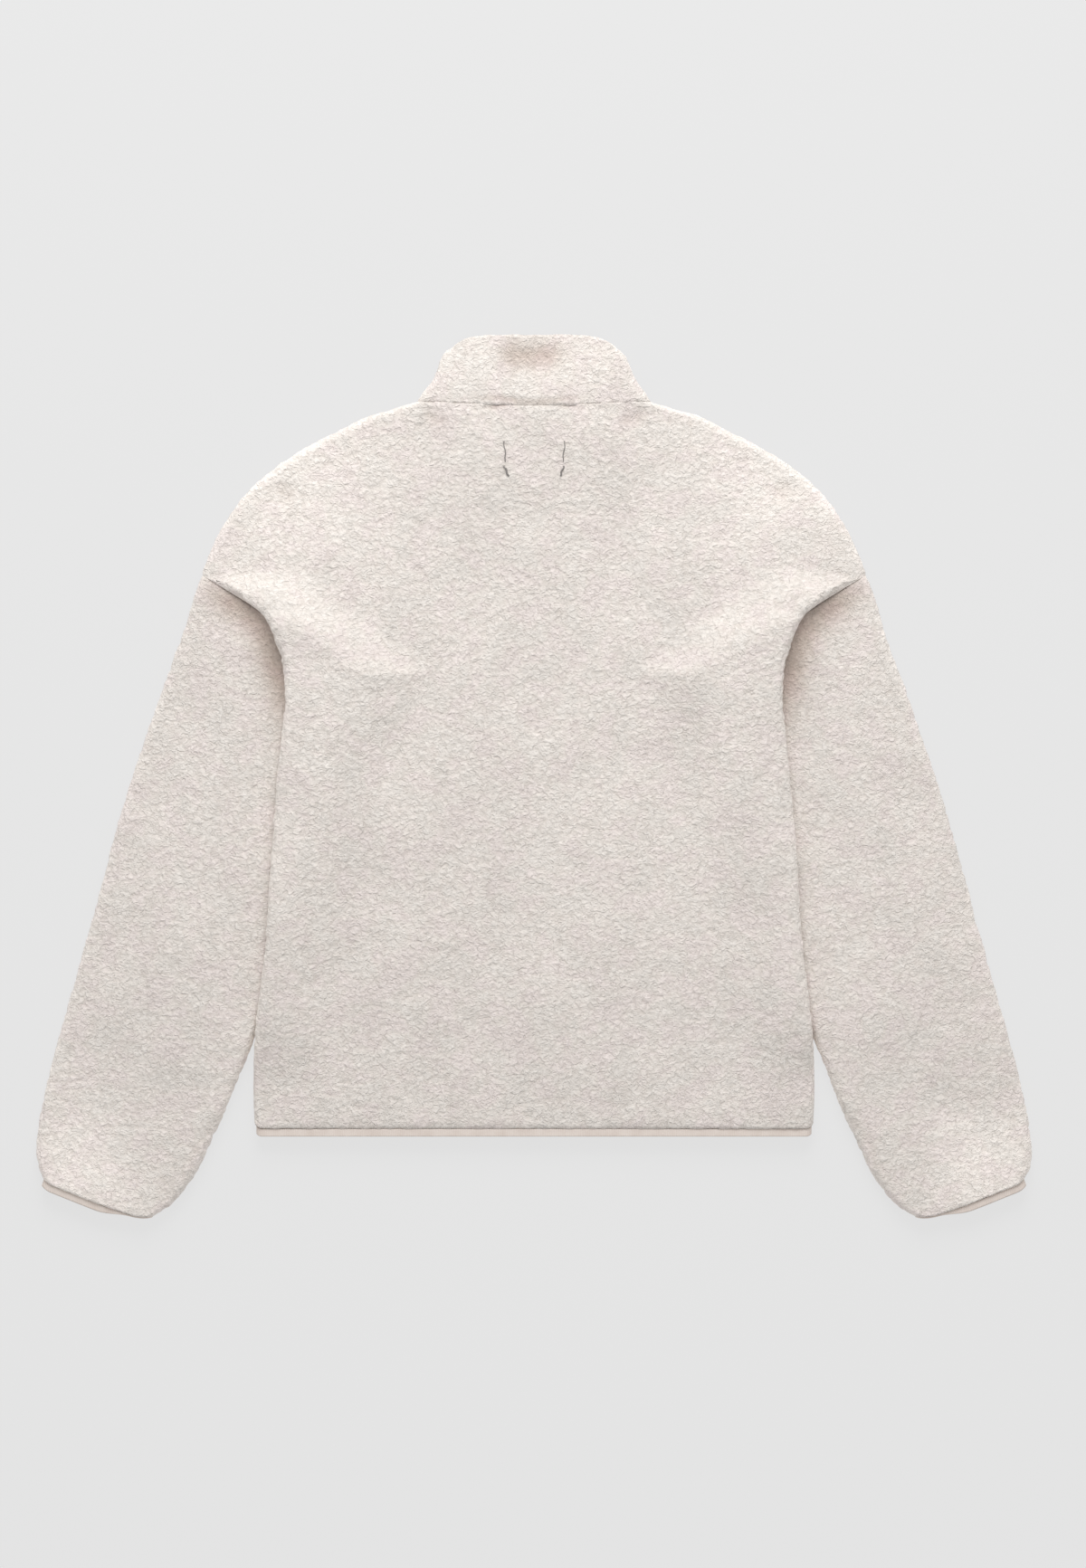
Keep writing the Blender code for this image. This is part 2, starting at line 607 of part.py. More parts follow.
def hem_binding_grids():
    """Outer and inner grids of the hem binding, from zip edge to zip edge round the back."""
    half = side_edge(HEM_Y)
    bend = half - EDGE_RADIUS
    middle = EDGE_RADIUS - WALL / 2
    grids = []
    for radius in (middle + BINDING_THICK / 2, middle - BINDING_THICK / 2):
        section = [(x, EDGE_RADIUS - radius) for x in np.linspace(FRONT_EDGE_X, bend, 9)[:-1]]
        for angle in np.radians(np.linspace(-90.0, 90.0, 9)):
            section.append((bend + radius * math.cos(angle), EDGE_RADIUS + radius * math.sin(angle)))
        section += [(x, EDGE_RADIUS + radius) for x in np.linspace(bend, 0.0, 9)[1:]]
        rows = [np.array([(x, y, z) for x, z in section]) for y in HEM_BINDING]
        grids.append(both_halves(rows))
    return grids


def extruded(name, outline, low, high, look, offsets=None):
    """A solid between copies of an outline given in the x-z plane, at rising heights y."""
    stations = offsets or ((low, 0.0), (high, 0.0))
    count = len(outline)
    points = [(x + shift, y, z) for y, shift in stations for x, z in outline]
    faces = [tuple(range(count)), tuple(range(len(points) - 1, len(points) - count - 1, -1))]
    for level in range(len(stations) - 1):
        for i in range(count):
            a, b = level * count + i, level * count + (i + 1) % count
            faces.append((a, b, b + count, a + count))
    return solid(name, points, faces, look)


def flipped(grid):
    return grid * np.array((-1.0, 1.0, 1.0))


def make_zip():
    """Tapes with their beads, the slider, its pull tab and the box at the hem."""
    spread = TAPE_SPREAD
    stations = ((ZIP_LOW_Y, 0.0), (SLIDER_LOW_Y - 8.0, 0.0), (SLIDER_LOW_Y - 1.0, spread - HALF_GAP))
    stations += ((ZIP_TOP_Y, spread - HALF_GAP),)
    outline = (
        (HALF_GAP, BEAD_LOW), (BEAD_WIDE, BEAD_LOW), (BEAD_WIDE, TAPE_LOW), (TAPE_WIDE, TAPE_LOW),
        (TAPE_WIDE, TAPE_HIGH), (HALF_GAP, TAPE_HIGH),
    )
    for side, sign in (("right", 1.0), ("left", -1.0)):
        shape = [(sign * x, z) for x, z in outline]
        moved = [(y, sign * shift) for y, shift in stations]
        extruded("zip_tape_" + side, shape, 0.0, 0.0, TAPE, moved)
    low, high = SLIDER_OUTER
    near, far = SLIDER_INNER
    plate = SLIDER_HALF
    post = SLIDER_POST
    section = (
        (-plate, low), (plate, low), (plate, high), (post, high), (post, near), (plate, near),
        (plate, far), (-plate, far), (-plate, near), (-post, near), (-post, high), (-plate, high),
    )
    body = extruded("zip_slider", section, SLIDER_LOW_Y, SLIDER_HIGH_Y, METAL)
    add_pull(body)
    box = ((-BOX_HALF, BOX_LOW), (BOX_HALF, BOX_LOW), (BOX_HALF, BOX_HIGH), (-BOX_HALF, BOX_HIGH))
    extruded("zip_box", box, BOX_BOTTOM_Y, ZIP_LOW_Y - SEAM_GAP, METAL)


def prism_between(outline, low, high):
    """Points of a prism along x between two copies of an outline given as (y, z)."""
    return [(x, y, z) for x in (low, high) for y, z in outline]


def circle(centre_y, radius):
    angles = np.radians(np.arange(0.0, 360.0, 30.0))
    return [(centre_y + radius * math.cos(a), PULL_AXIS_Z + radius * math.sin(a)) for a in angles]


def add_pull(body):
    """The lugs and the bar under the slider, and the pull tab that swings on the bar."""
    axis_y = (SLIDER_LOW_Y + SLIDER_HIGH_Y) / 2
    low, high = PULL_AXIS_Z - LUG_REACH, SLIDER_OUTER[0] + SLIDER_SINK
    lug = [(axis_y - LUG_REACH, low), (axis_y + LUG_REACH, low)]
    lug += [(axis_y + LUG_REACH, high), (axis_y - LUG_REACH, high)]
    for near, far in ((-LUG_OUT, -LUG_IN), (LUG_IN, LUG_OUT)):
        join_to(body, solid("lug", prism_between(lug, near, far), tube_faces(len(lug)), METAL))
    bar = circle(axis_y, PULL_BAR)
    ends = LUG_IN + SLIDER_SINK
    join_to(body, solid("bar", prism_between(bar, -ends, ends), tube_faces(len(bar)), METAL))
    make_pull(axis_y)


def tube_faces(count):
    """Faces of a prism between two rings of points."""
    faces = [tuple(range(count - 1, -1, -1)), tuple(range(count, 2 * count))]
    return faces + [(i, (i + 1) % count, (i + 1) % count + count, i + count) for i in range(count)]


def join_to(body, extra):
    """Makes one closed body of two objects."""
    union = body.modifiers.new("union", "BOOLEAN")
    union.operation = "UNION"
    union.solver = "EXACT"
    union.object = extra
    bpy.context.view_layer.update()
    evaluated = body.evaluated_get(bpy.context.evaluated_depsgraph_get())
    mesh = bpy.data.meshes.new_from_object(evaluated)
    body.modifiers.clear()
    body.data = mesh
    bpy.data.objects.remove(extra)


def make_pull(axis_y):
    """The pull tab: an eye round the bar and a flat tab towards the hem."""
    tab = PULL_THICK / 2
    start = math.degrees(math.asin(tab / PULL_EYE))
    outline = []
    for angle in np.radians(np.linspace(180.0 - start, -180.0 + start, 14)):
        outline.append((axis_y + PULL_EYE * math.cos(angle), PULL_AXIS_Z + PULL_EYE * math.sin(angle)))
    end = axis_y - PULL_LENGTH
    outline += [(end, PULL_AXIS_Z - tab), (end, PULL_AXIS_Z + tab)]
    eye = prism_between(outline, -PULL_EYE, PULL_EYE)
    pull = solid("zip_pull", eye, tube_faces(len(outline)), METAL)
    near = axis_y - PULL_NECK
    blade = [(end - tab, PULL_AXIS_Z - tab), (near, PULL_AXIS_Z - tab)]
    blade += [(near, PULL_AXIS_Z + tab), (end - tab, PULL_AXIS_Z + tab)]
    wide = prism_between(blade, -PULL_HALF, PULL_HALF)
    join_to(pull, solid("tab", wide, tube_faces(len(blade)), METAL))
    hole = circle(axis_y, PULL_HOLE)
    cutter = solid("hole", prism_between(hole, -PULL_HALF, PULL_HALF), tube_faces(len(hole)), METAL)
    cut = pull.modifiers.new("hole", "BOOLEAN")
    cut.operation = "DIFFERENCE"
    cut.solver = "EXACT"
    cut.object = cutter
    bpy.context.view_layer.update()
    evaluated = pull.evaluated_get(bpy.context.evaluated_depsgraph_get())
    mesh = bpy.data.meshes.new_from_object(evaluated)
    pull.modifiers.clear()
    pull.data = mesh
    bpy.data.objects.remove(cutter)
    pivot = np.array((0.0, axis_y - FRAME_CENTRE_Y, PULL_AXIS_Z)) * MM
    for vertex in pull.data.vertices:
        vertex.co = [float(c) for c in np.array(vertex.co) - pivot]
    pull.location = pivot


def main():
    for old in list(bpy.data.objects):
        bpy.data.objects.remove(old)
    rows = back_rows()
    wall("back", both_halves([row[0] for row in rows]), both_halves([row[1] for row in rows]), PILE)
    fronts = front_rows()
    pile = np.array([row[0] for row in fronts])
    backing = np.array([row[1] for row in fronts])
    sleeve = sleeve_grids()
    cuff = cuff_binding_grids()
    for side, turn in (("right", lambda grid: grid), ("left", flipped)):
        wall("front_" + side, turn(pile), turn(backing), PILE)
        wall("sleeve_" + side, turn(sleeve[0]), turn(sleeve[1]), PILE, ring=True)
        wall("cuff_binding_" + side, turn(cuff[0]), turn(cuff[1]), BINDING, ring=True)
    wall("collar", *collar_grids(), PILE)
    wall("hem_binding", *hem_binding_grids(), BINDING)
    make_zip()


main()
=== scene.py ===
import math

import bpy
import numpy as np
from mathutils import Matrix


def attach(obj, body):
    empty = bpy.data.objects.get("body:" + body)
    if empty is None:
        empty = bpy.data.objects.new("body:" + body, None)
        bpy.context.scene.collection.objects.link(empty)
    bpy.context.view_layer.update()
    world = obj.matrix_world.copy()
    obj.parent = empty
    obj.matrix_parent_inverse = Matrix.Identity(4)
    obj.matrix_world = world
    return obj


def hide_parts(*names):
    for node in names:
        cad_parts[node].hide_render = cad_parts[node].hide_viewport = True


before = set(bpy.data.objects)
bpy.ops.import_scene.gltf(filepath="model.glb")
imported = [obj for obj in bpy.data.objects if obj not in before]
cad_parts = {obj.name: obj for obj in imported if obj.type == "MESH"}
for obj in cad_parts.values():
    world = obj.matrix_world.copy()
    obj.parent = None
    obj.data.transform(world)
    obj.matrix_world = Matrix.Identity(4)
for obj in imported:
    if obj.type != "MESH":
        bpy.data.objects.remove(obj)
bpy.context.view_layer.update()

MM = 0.001
SEAM_GAP = 0.3
HALF_GAP = SEAM_GAP / 2
FRAME_CENTRE_Y = 333.27

# Cloth: the backing and the curled pile on it are one wall.
WALL = 6.5
EDGE_RADIUS = 8.0
FLAT_HEIGHT = 2 * EDGE_RADIUS
SEAM_RADIUS = EDGE_RADIUS - HALF_GAP
PLEAT_RADIUS = 7.25
WRAP_RADIUS = EDGE_RADIUS + 0.45
CLIMB_LENGTH = 75.0
# The climb moves out past the sleeve's edge, from nothing at the first height to all at the second.
CLIMB_PAST_EDGE, CLIMB_MOVES = 15.0, (519.0, 345.0)

# Plan landmarks on the right half (x, y).
BACK_NECK_Y = 683.0
SLEEVE_TOP = np.array((311.5, 524.5))
ARMPIT = np.array((158.0, 430.0))
HEM_Y = 5.5
FRONT_EDGE_X = 7.0
FRONT_NECK_DROP = 60.0

# Shoulder line and the sleeve's outer edge: height above the hem, half width.
OUTER_EDGE = (
    (687.0, 110.0), (682.6, 124.0), (677.5, 138.0), (674.0, 153.0), (657.1, 187.4),
    (640.1, 220.0), (623.1, 245.2), (606.1, 265.0), (589.1, 279.7), (572.1, 290.9),
    (555.1, 300.0), (538.1, 307.2), (521.1, 313.2), (504.1, 319.0), (470.1, 329.5),
    (436.1, 341.5), (385.1, 359.5), (317.1, 382.5), (249.1, 401.5), (181.1, 420.0),
    (113.1, 439.0), (45.1, 457.3), (11.1, 464.0), (-14.5, 466.6), (-31.5, 465.6), (-44.0, 461.5),
)
# The sleeve's inner edge, hidden by the body above height 88: height, half width.
INNER_EDGE = (
    (430.0, 158.0), (340.0, 187.0), (250.0, 214.0), (160.0, 240.5), (87.6, 263.5),
    (44.2, 281.0), (12.8, 294.1), (-17.0, 307.7), (-43.4, 321.3), (-60.0, 332.0), (-74.0, 345.0),
    (-82.0, 356.0),
)
# The body's side edge, over the sleeve: height, half width.
SIDE_EDGE = (
    (430.0, 232.0), (402.0, 232.3), (364.0, 236.3), (321.0, 240.6), (279.0, 244.0),
    (236.0, 246.8), (172.6, 251.2), (108.8, 259.0), (87.6, 261.3), (45.0, 263.4), (5.5, 262.4),
)
# Edge of the fold over the sleeve head, from its foot up to the outer edge: height, half width.
FOLD_EDGE = (
    (405.0, 232.3), (419.0, 232.1), (444.6, 235.5), (461.6, 240.6), (476.9, 246.5),
    (487.1, 253.3), (497.0, 263.5), (505.0, 278.8),
)
# Rows of the body across the shoulder: height at the centre line, half width at the outer edge,
# and how far the row's slant draws out the edge's roll.
SHOULDER_ROWS = (
    (683.0, 110.0, 1.3), (672.0, 136.0, 1.9), (660.0, 166.0, 2.2), (648.0, 196.0, 2.1),
    (635.0, 224.0, 1.9), (621.0, 251.0, 1.7), (608.0, 276.0, 1.5), (596.0, 297.0, 1.35),
    (587.0, 311.5, 1.2),
)
# Rows of the back that end at the sleeve's top layer: distance from the outer edge, height at the
# centre line, height of the seam, direction in which the cloth leaves the seam, straight length.
ARMHOLE_ROWS = (
    (2.4, 585.0, 13.8, 135.0, 0.0), (8.0, 582.0, 16.2, 176.0, 1.0),
    (20.0, 575.0, 16.3, 152.0, 5.0), (36.0, 564.0, 16.3, 122.0, 5.0),
    (54.0, 551.0, 16.3, 90.0, 3.5), (72.0, 536.0, 16.3, 45.0, 0.0),
    (92.0, 519.0, 16.3, 15.0, 0.0), (114.0, 499.0, 16.3, 5.0, 0.0),
    (140.0, 474.0, 16.4, 1.0, 0.0), (172.0, 446.0, 16.6, 0.0, 0.0),
)
# Rows of the back round the armpit: angle down the sleeve's rolled edge, height at the centre line.
ARMPIT_ROWS = ((60.0, 443.0), (30.0, 440.5), (0.0, 438.0))
# Rows of the body's side: height, angle through which the back wraps the sleeve's inner edge.
SIDE_ROWS = (
    (408.0, 90.0), (380.0, 90.0), (345.0, 90.0), (308.0, 90.0), (270.0, 90.0), (232.0, 90.0),
    (200.0, 90.0), (172.0, 86.0), (150.0, 79.0), (130.0, 68.0), (108.8, 52.0), (87.6, 32.0),
    (66.0, 13.0), (45.0, 0.0), (24.0, 0.0), (HEM_Y, 0.0),
)
# Shallow dents in the back: x, y, radius across, radius along, depth.
BACK_DENTS = (
    (-93.5, 487.0, 38.0, 30.0, 1.3), (76.5, 428.0, 40.0, 26.0, 1.3), (119.0, 360.0, 34.0, 26.0, 1.1),
    (-127.5, 360.0, 30.0, 24.0, 1.1), (-70.0, 336.0, 34.0, 24.0, 1.2), (93.5, 249.0, 42.0, 28.0, 1.3),
    (8.5, 164.0, 46.0, 30.0, 1.1), (161.5, 156.0, 34.0, 26.0, 1.0), (-178.5, 164.0, 34.0, 26.0, 1.0),
    (-34.0, 575.0, 44.0, 22.0, 1.3), (0.0, 90.0, 120.0, 16.0, 0.7), (-96.0, 230.0, 30.0, 26.0, 1.0),
)
# How far the front neckline sags below a straight row, the first four rows.
NECK_BOWS = (15.0, 9.0, 4.5, 1.5)
NECK_LOSS = 59.3
SIDE_SEAM_GAP = 0.7
# Rows of the side climb towards the centre line above this height, by this share.
SIDE_CLIMB_FROM, SIDE_CLIMB = 385.0, 0.35
# The sleeve: ends of its first and last row, and how far the cuff bows beyond a straight line.
CUFF_OUTER_Y = -44.0
CUFF_INNER_Y = -82.0
CUFF_BOW, CUFF_BOW_FROM = 2.0, 0.72
SLEEVE_DENTS = (
    (352.0, 300.0, 26.0, 60.0, 1.0), (330.0, 400.0, 30.0, 26.0, 1.1), (372.0, 120.0, 24.0, 50.0, 1.0),
    (330.0, 30.0, 22.0, 40.0, 1.2), (420.0, 200.0, 20.0, 50.0, 0.8), (410.0, 20.0, 24.0, 40.0, 0.8),
)
# Collar rows from its seam up: height at the centre, half width, rise and drop towards the sides.
COLLAR_ROWS = (
    (683.3, 110.0, 4.0, 0.0), (694.0, 103.0, 3.0, 0.0), (706.0, 95.0, 1.5, 0.0),
    (720.0, 89.5, 0.0, 0.0), (732.0, 85.5, 0.0, 1.5), (742.0, 81.0, 0.0, 7.0), (749.5, 77.0, 0.0, 12.0),
)
# Folded stretch binding that closes the hem and the cuffs.
BINDING_THICK = 3.2
HEM_BINDING = (5.2, -2.0)
# The cuff's binding: how far it shows, its least reach, and the share of the width where it hides.
CUFF_BINDING, CUFF_BINDING_LEAST = 5.4, 1.2
CUFF_BINDING_FADE = (0.5, 0.3)
# Front zip, under the body: heights of its parts above the floor.
TAPE_LOW, TAPE_HIGH, TAPE_WIDE = 6.8, 7.7, 14.0
BEAD_LOW, BEAD_WIDE = 5.2, 2.4
ZIP_TOP_Y, ZIP_LOW_Y = 683.0, 8.6
SLIDER_LOW_Y = 664.0
TAPE_SPREAD = 1.5
# Shoulder rows in all, and the distance from which the armhole's rows are closer together.
SHOULDER_STEPS, DENSE_FROM = 34, 72.0
# Angles of the roll at the edge of a flattened tube.
ROLL = np.radians(np.linspace(-90.0, 90.0, 15))
# Samples of a row before it is thinned: round the sleeve, straight on, round the fold, on top.
WRAP_SAMPLES, STRAIGHT_SAMPLES, TURN_SAMPLES, TOP_SAMPLES = 13, 8, 25, 241
FOLD_STEPS = 44
TOP_STEPS = 100
FRONT_ROLL_STEPS = 8
FRONT_FLAT_STEPS = 84
FRONT_ARMHOLE_STEP = 1.5
SLEEVE_ROWS = 44
SLEEVE_TOP_STEPS, SLEEVE_LOW_STEPS = 70, 46


def hermite(t, width, values, slopes):
    """Between two values, on the smooth curve that has these slopes there."""
    rise = (2 * t**3 - 3 * t**2 + 1) * values[0] + (3 * t**2 - 2 * t**3) * values[1]
    bend = (t**3 - 2 * t**2 + t) * slopes[0] + (t**3 - t**2) * slopes[1]
    return rise + width * bend


def curve(table, column=1):
    """Smooth function of a table's first column."""
    rows = np.array(sorted(table), dtype=float)
    keys = rows[:, 0]
    values = rows[:, column]
    slopes = np.gradient(values, keys)

    def value(key):
        key = np.clip(key, keys[0], keys[-1])
        i = int(np.clip(np.searchsorted(keys, key) - 1, 0, len(keys) - 2))
        width = keys[i + 1] - keys[i]
        t = (key - keys[i]) / width
        return float(hermite(t, width, values[i : i + 2], slopes[i : i + 2]))

    return value


outer_edge = curve(OUTER_EDGE)
inner_edge = curve(INNER_EDGE)
side_edge = curve(SIDE_EDGE)
fold_edge = curve(FOLD_EDGE)
shoulder_height = curve([(half, height) for height, half in OUTER_EDGE if height > 515.0])
ARMHOLE_LENGTH = float(np.linalg.norm(ARMPIT - SLEEVE_TOP))
ARMHOLE_WAY = (ARMPIT - SLEEVE_TOP) / ARMHOLE_LENGTH
ARMHOLE_NORMAL = np.array((ARMHOLE_WAY[1], -ARMHOLE_WAY[0]))


def smoothstep(t):
    t = np.clip(t, 0.0, 1.0)
    return t * t * (3 - 2 * t)


def unit(vector):
    return np.array(vector) / np.linalg.norm(vector)


def dents(x, y, table):
    """Height taken from a top surface by its shallow dents."""
    total = 0.0 * x
    for centre_x, centre_y, across, along, depth in table:
        total -= depth * np.exp(-(((x - centre_x) / across) ** 2) - ((y - centre_y) / along) ** 2)
    return total


def resampled(points, backing, headings, steps, length_scale, angle_scale):
    """A path and its backing thinned to an even mix of length and turning."""
    lengths = np.linalg.norm(np.diff(points, axis=0), axis=1)
    turns = np.abs(np.degrees(np.diff(headings)))
    measure = np.concatenate(((0.0,), np.cumsum(lengths / length_scale + turns / angle_scale)))
    wanted = np.linspace(0.0, measure[-1], steps + 1)
    return [
        np.stack([np.interp(wanted, measure, side[:, i]) for i in range(2)], axis=1)
        for side in (points, backing)
    ]


def unit_at(angle):
    return np.array((math.cos(angle), math.sin(angle)))


def fold_path(
    stretch, arc_from=0.0, arc_to=0.0, heading=90.0, straight=0.0, reach=None, radius=SEAM_RADIUS
):
    """Pile and backing side of a row, from its seam to where its top layer starts.

    The cloth follows the sleeve's rolled edge, runs straight outwards and rolls back over itself.
    """
    start, stop, heading = np.radians((arc_from, arc_to, heading))
    wrap = WRAP_RADIUS if stop > start else 0.0
    across = wrap * (math.cos(start) - math.cos(stop)) + radius * (1.0 - math.sin(heading))
    if reach is not None and math.cos(heading) > 0.02:
        straight = max(straight, (reach / stretch - across) / math.cos(heading))
    points = [np.zeros(2)]
    headings = [math.pi / 2 - start if wrap else heading]
    if wrap:
        for angle in np.linspace(start, stop, WRAP_SAMPLES)[1:]:
            step = (math.cos(start) - math.cos(angle), math.sin(angle) - math.sin(start))
            points.append(wrap * np.array(step))
            headings.append(math.pi / 2 - angle)
    for _ in range(STRAIGHT_SAMPLES if straight > 0.0 else 0):
        points.append(points[-1] + straight / STRAIGHT_SAMPLES * unit_at(heading))
        headings.append(heading)
    origin = points[-1] + radius * np.array((-math.sin(heading), math.cos(heading)))
    for angle in np.linspace(heading, math.pi, TURN_SAMPLES)[1:]:
        points.append(origin + radius * np.array((math.sin(angle), -math.cos(angle))))
        headings.append(angle)
    points = np.array(points)
    backing = points + WALL * np.stack((-np.sin(headings), np.cos(headings)), axis=1)
    sides = resampled(points, backing, headings, FOLD_STEPS, 3.0, 15.0)
    return [side * (stretch, 1.0) for side in sides]


def top_path(peak, centre, way, start, height):
    """Pile and backing side of a row's top layer, from its fold to the centre line."""
    foot = min(peak, start) - CLIMB_LENGTH
    distance = np.linspace(start, 0.0, TOP_SAMPLES)
    rise = smoothstep((distance - foot) / CLIMB_LENGTH)
    x, y = centre[:, None] + distance * way[:, None]
    fade = smoothstep((start - distance) / 40.0) * (1.0 - 0.6 * rise)
    tall = FLAT_HEIGHT + (height - FLAT_HEIGHT) * rise
    tall += fade * (dents(x, y, BACK_DENTS) + dents(-x, y, BACK_DENTS)) / 2
    slope = np.gradient(tall, distance)
    points = np.stack((distance, tall), axis=1)
    backing = np.stack((distance, tall - WALL * np.sqrt(1 + slope**2)), axis=1)
    return resampled(points, backing, np.arctan(slope), TOP_STEPS, 3.0, 90.0)


def back_row(centre_y, hinge, hinge_z, stretch=1.0, peak=0.0, tangent=None, **fold):
    """Pile and backing side of one row of the back's right half, seam first, in space."""
    centre = np.array((0.0, centre_y))
    way = unit(hinge - centre)
    seam = float(np.linalg.norm(hinge - centre))
    if tangent is not None:
        stretch = 1.0 / abs(float(np.cross(way, tangent)))
    folds = [side + (seam, hinge_z) for side in fold_path(stretch, **fold)]
    tops = top_path(seam + peak, centre, way, *folds[0][-1])
    sides = (np.concatenate((fold, top[1:])) for fold, top in zip(folds, tops))
    return [placed(side, centre, way) for side in sides]


def placed(flat, centre, way):
    """Points of a row's plane in space."""
    plan = centre + flat[:, :1] * way
    return np.concatenate((plan, flat[:, 1:]), axis=1)


def tangent_of(edge, height):
    """Direction in plan of an edge given as half width over height."""
    return unit((edge(height + 2.0) - edge(height - 2.0), 4.0))


def fold_reach(centre_y, hinge):
    """Distance along a row from its seam to the visible edge of the fold."""
    centre = np.array((0.0, centre_y))
    way = unit(hinge - centre)
    for distance in np.arange(0.0, 120.0, 0.25):
        x, y = hinge + distance * way
        if x >= fold_edge(y):
            return distance
    return 0.0


def wrap_radius_of(angle):
    return SEAM_RADIUS - (SEAM_RADIUS - PLEAT_RADIUS) * min(angle / 90.0, 1.0)


def side_seam(height, angle):
    """Plan point of the hidden side seam, beside the sleeve's inner edge."""
    edge = side_edge(height)
    reach = (WRAP_RADIUS + wrap_radius_of(angle)) * (1.0 - math.cos(math.radians(angle)))
    if angle > 85.0:
        reach = max(reach, edge - inner_edge(height) + SIDE_SEAM_GAP)
    return np.array((edge - reach, height))


def dense_shoulder():
    """Shoulder rows close together: height at the centre line, half width, stretch, front's sag."""
    by_half = [(half, height, stretch) for height, half, stretch in SHOULDER_ROWS]
    height, stretch = curve(by_half, 1), curve(by_half, 2)
    sag = curve([(row[1], bow) for row, bow in zip(SHOULDER_ROWS, (*NECK_BOWS, 0.0))])
    first, last = SHOULDER_ROWS[0][1], SHOULDER_ROWS[-1][1]
    halves = [*np.linspace(first, last - 3.0, SHOULDER_STEPS), last]
    return [(height(half), half, stretch(half), sag(half)) for half in halves]


def dense_armhole():
    """Armhole rows, with two more between each pair where the fold leaves the seam flat."""
    rows = [row for row in ARMHOLE_ROWS if row[0] < DENSE_FROM]
    table = [row for row in ARMHOLE_ROWS if row[0] >= DENSE_FROM]
    columns = [curve(table, column) for column in range(1, 5)]
    for low, high in zip(table[:-1], table[1:]):
        for part in (0.0, 1 / 3, 2 / 3):
            along = low[0] + part * (high[0] - low[0])
            rows.append((along, *(column(along) for column in columns)))
    return [*rows, table[-1]]


def climb_past(height):
    """How far past a row's seam its top layer has come to its full height."""
    first, last = CLIMB_MOVES
    return CLIMB_PAST_EDGE * smoothstep((first - height) / (first - last))


def centre_of_side_row(height):
    return height + SIDE_CLIMB * max(height - SIDE_CLIMB_FROM, 0.0)


def back_rows():
    """All rows of the back's right half, collar to hem."""
    rows = []
    seam_z = EDGE_RADIUS + HALF_GAP
    for centre_y, half, stretch, _ in dense_shoulder():
        hinge = np.array((half, shoulder_height(half)))
        rows.append(back_row(centre_y, hinge, seam_z, stretch=stretch))
    for along, centre_y, height, heading, straight in dense_armhole():
        hinge = SLEEVE_TOP + along * ARMHOLE_WAY + HALF_GAP * ARMHOLE_NORMAL
        reach = fold_reach(centre_y, hinge) if heading < 90.0 else None
        end = hinge + (reach or 0.0) * unit(hinge - np.array((0.0, centre_y)))
        tangent = tangent_of(fold_edge, end[1]) if heading <= 90.0 else unit((0.8, 0.6))
        rows.append(back_row(
            centre_y, hinge, height, heading=heading, straight=straight, reach=reach,
            radius=PLEAT_RADIUS, peak=climb_past(centre_y), tangent=tangent,
        ))
    for angle, centre_y in ARMPIT_ROWS:
        around = WRAP_RADIUS * math.cos(math.radians(angle))
        hinge = ARMPIT - ARMHOLE_WAY * (EDGE_RADIUS - around)
        height = seam_z + WRAP_RADIUS * math.sin(math.radians(angle))
        rows.append(back_row(
            centre_y, hinge, height, arc_from=angle, arc_to=90.0, heading=0.0,
            reach=fold_reach(centre_y, hinge), radius=PLEAT_RADIUS, peak=climb_past(centre_y),
            tangent=tangent_of(side_edge, 420.0),
        ))
    for height, angle in SIDE_ROWS:
        hinge = side_seam(height, angle)
        rows.append(back_row(
            centre_of_side_row(height), hinge, seam_z, arc_to=angle, heading=90.0 - angle,
            reach=side_edge(height) - hinge[0], radius=wrap_radius_of(angle),
            peak=climb_past(height), tangent=tangent_of(side_edge, height),
        ))
    return rows


def both_halves(rows):
    """Right half rows, seam first, joined with their mirror images across the centre line."""
    grid = []
    for row in rows:
        mirrored = row * np.array((-1.0, 1.0, 1.0))
        grid.append(np.concatenate((row, mirrored[::-1][1:])))
    return np.array(grid)


def front_row(start, hinge, roll_from, stretch, bow):
    """Pile and backing side of one row of a front, side seam first.

    roll_from is the angle of the edge's roll already taken up by the sleeve's rolled edge.
    """
    length = float(np.linalg.norm(hinge - start))
    angles = np.linspace(math.radians(roll_from), math.pi / 2, FRONT_ROLL_STEPS + 1)
    rows = []
    for radius, low in ((SEAM_RADIUS, 0.0), (SEAM_RADIUS - WALL, WALL)):
        if roll_from < 90.0:
            rolled = SEAM_RADIUS * math.cos(angles[0]) - radius * np.cos(angles)
            across, heights = length - stretch * rolled, SEAM_RADIUS - radius * np.sin(angles)
        else:
            across = length - FRONT_ARMHOLE_STEP * np.arange(FRONT_ROLL_STEPS + 1)
            heights = np.full(len(across), low)
        across = np.append(across, across[-1] * np.linspace(1.0, 0.0, FRONT_FLAT_STEPS + 1)[1:])
        heights = np.append(heights, np.full(FRONT_FLAT_STEPS, low))
        points = placed(np.stack((across, heights), axis=1), start, unit(hinge - start))
        share = np.clip(across / length, 0.0, 1.0)
        points[:, 1] -= bow * 4 * share * (1 - share)
        rows.append(points)
    return rows


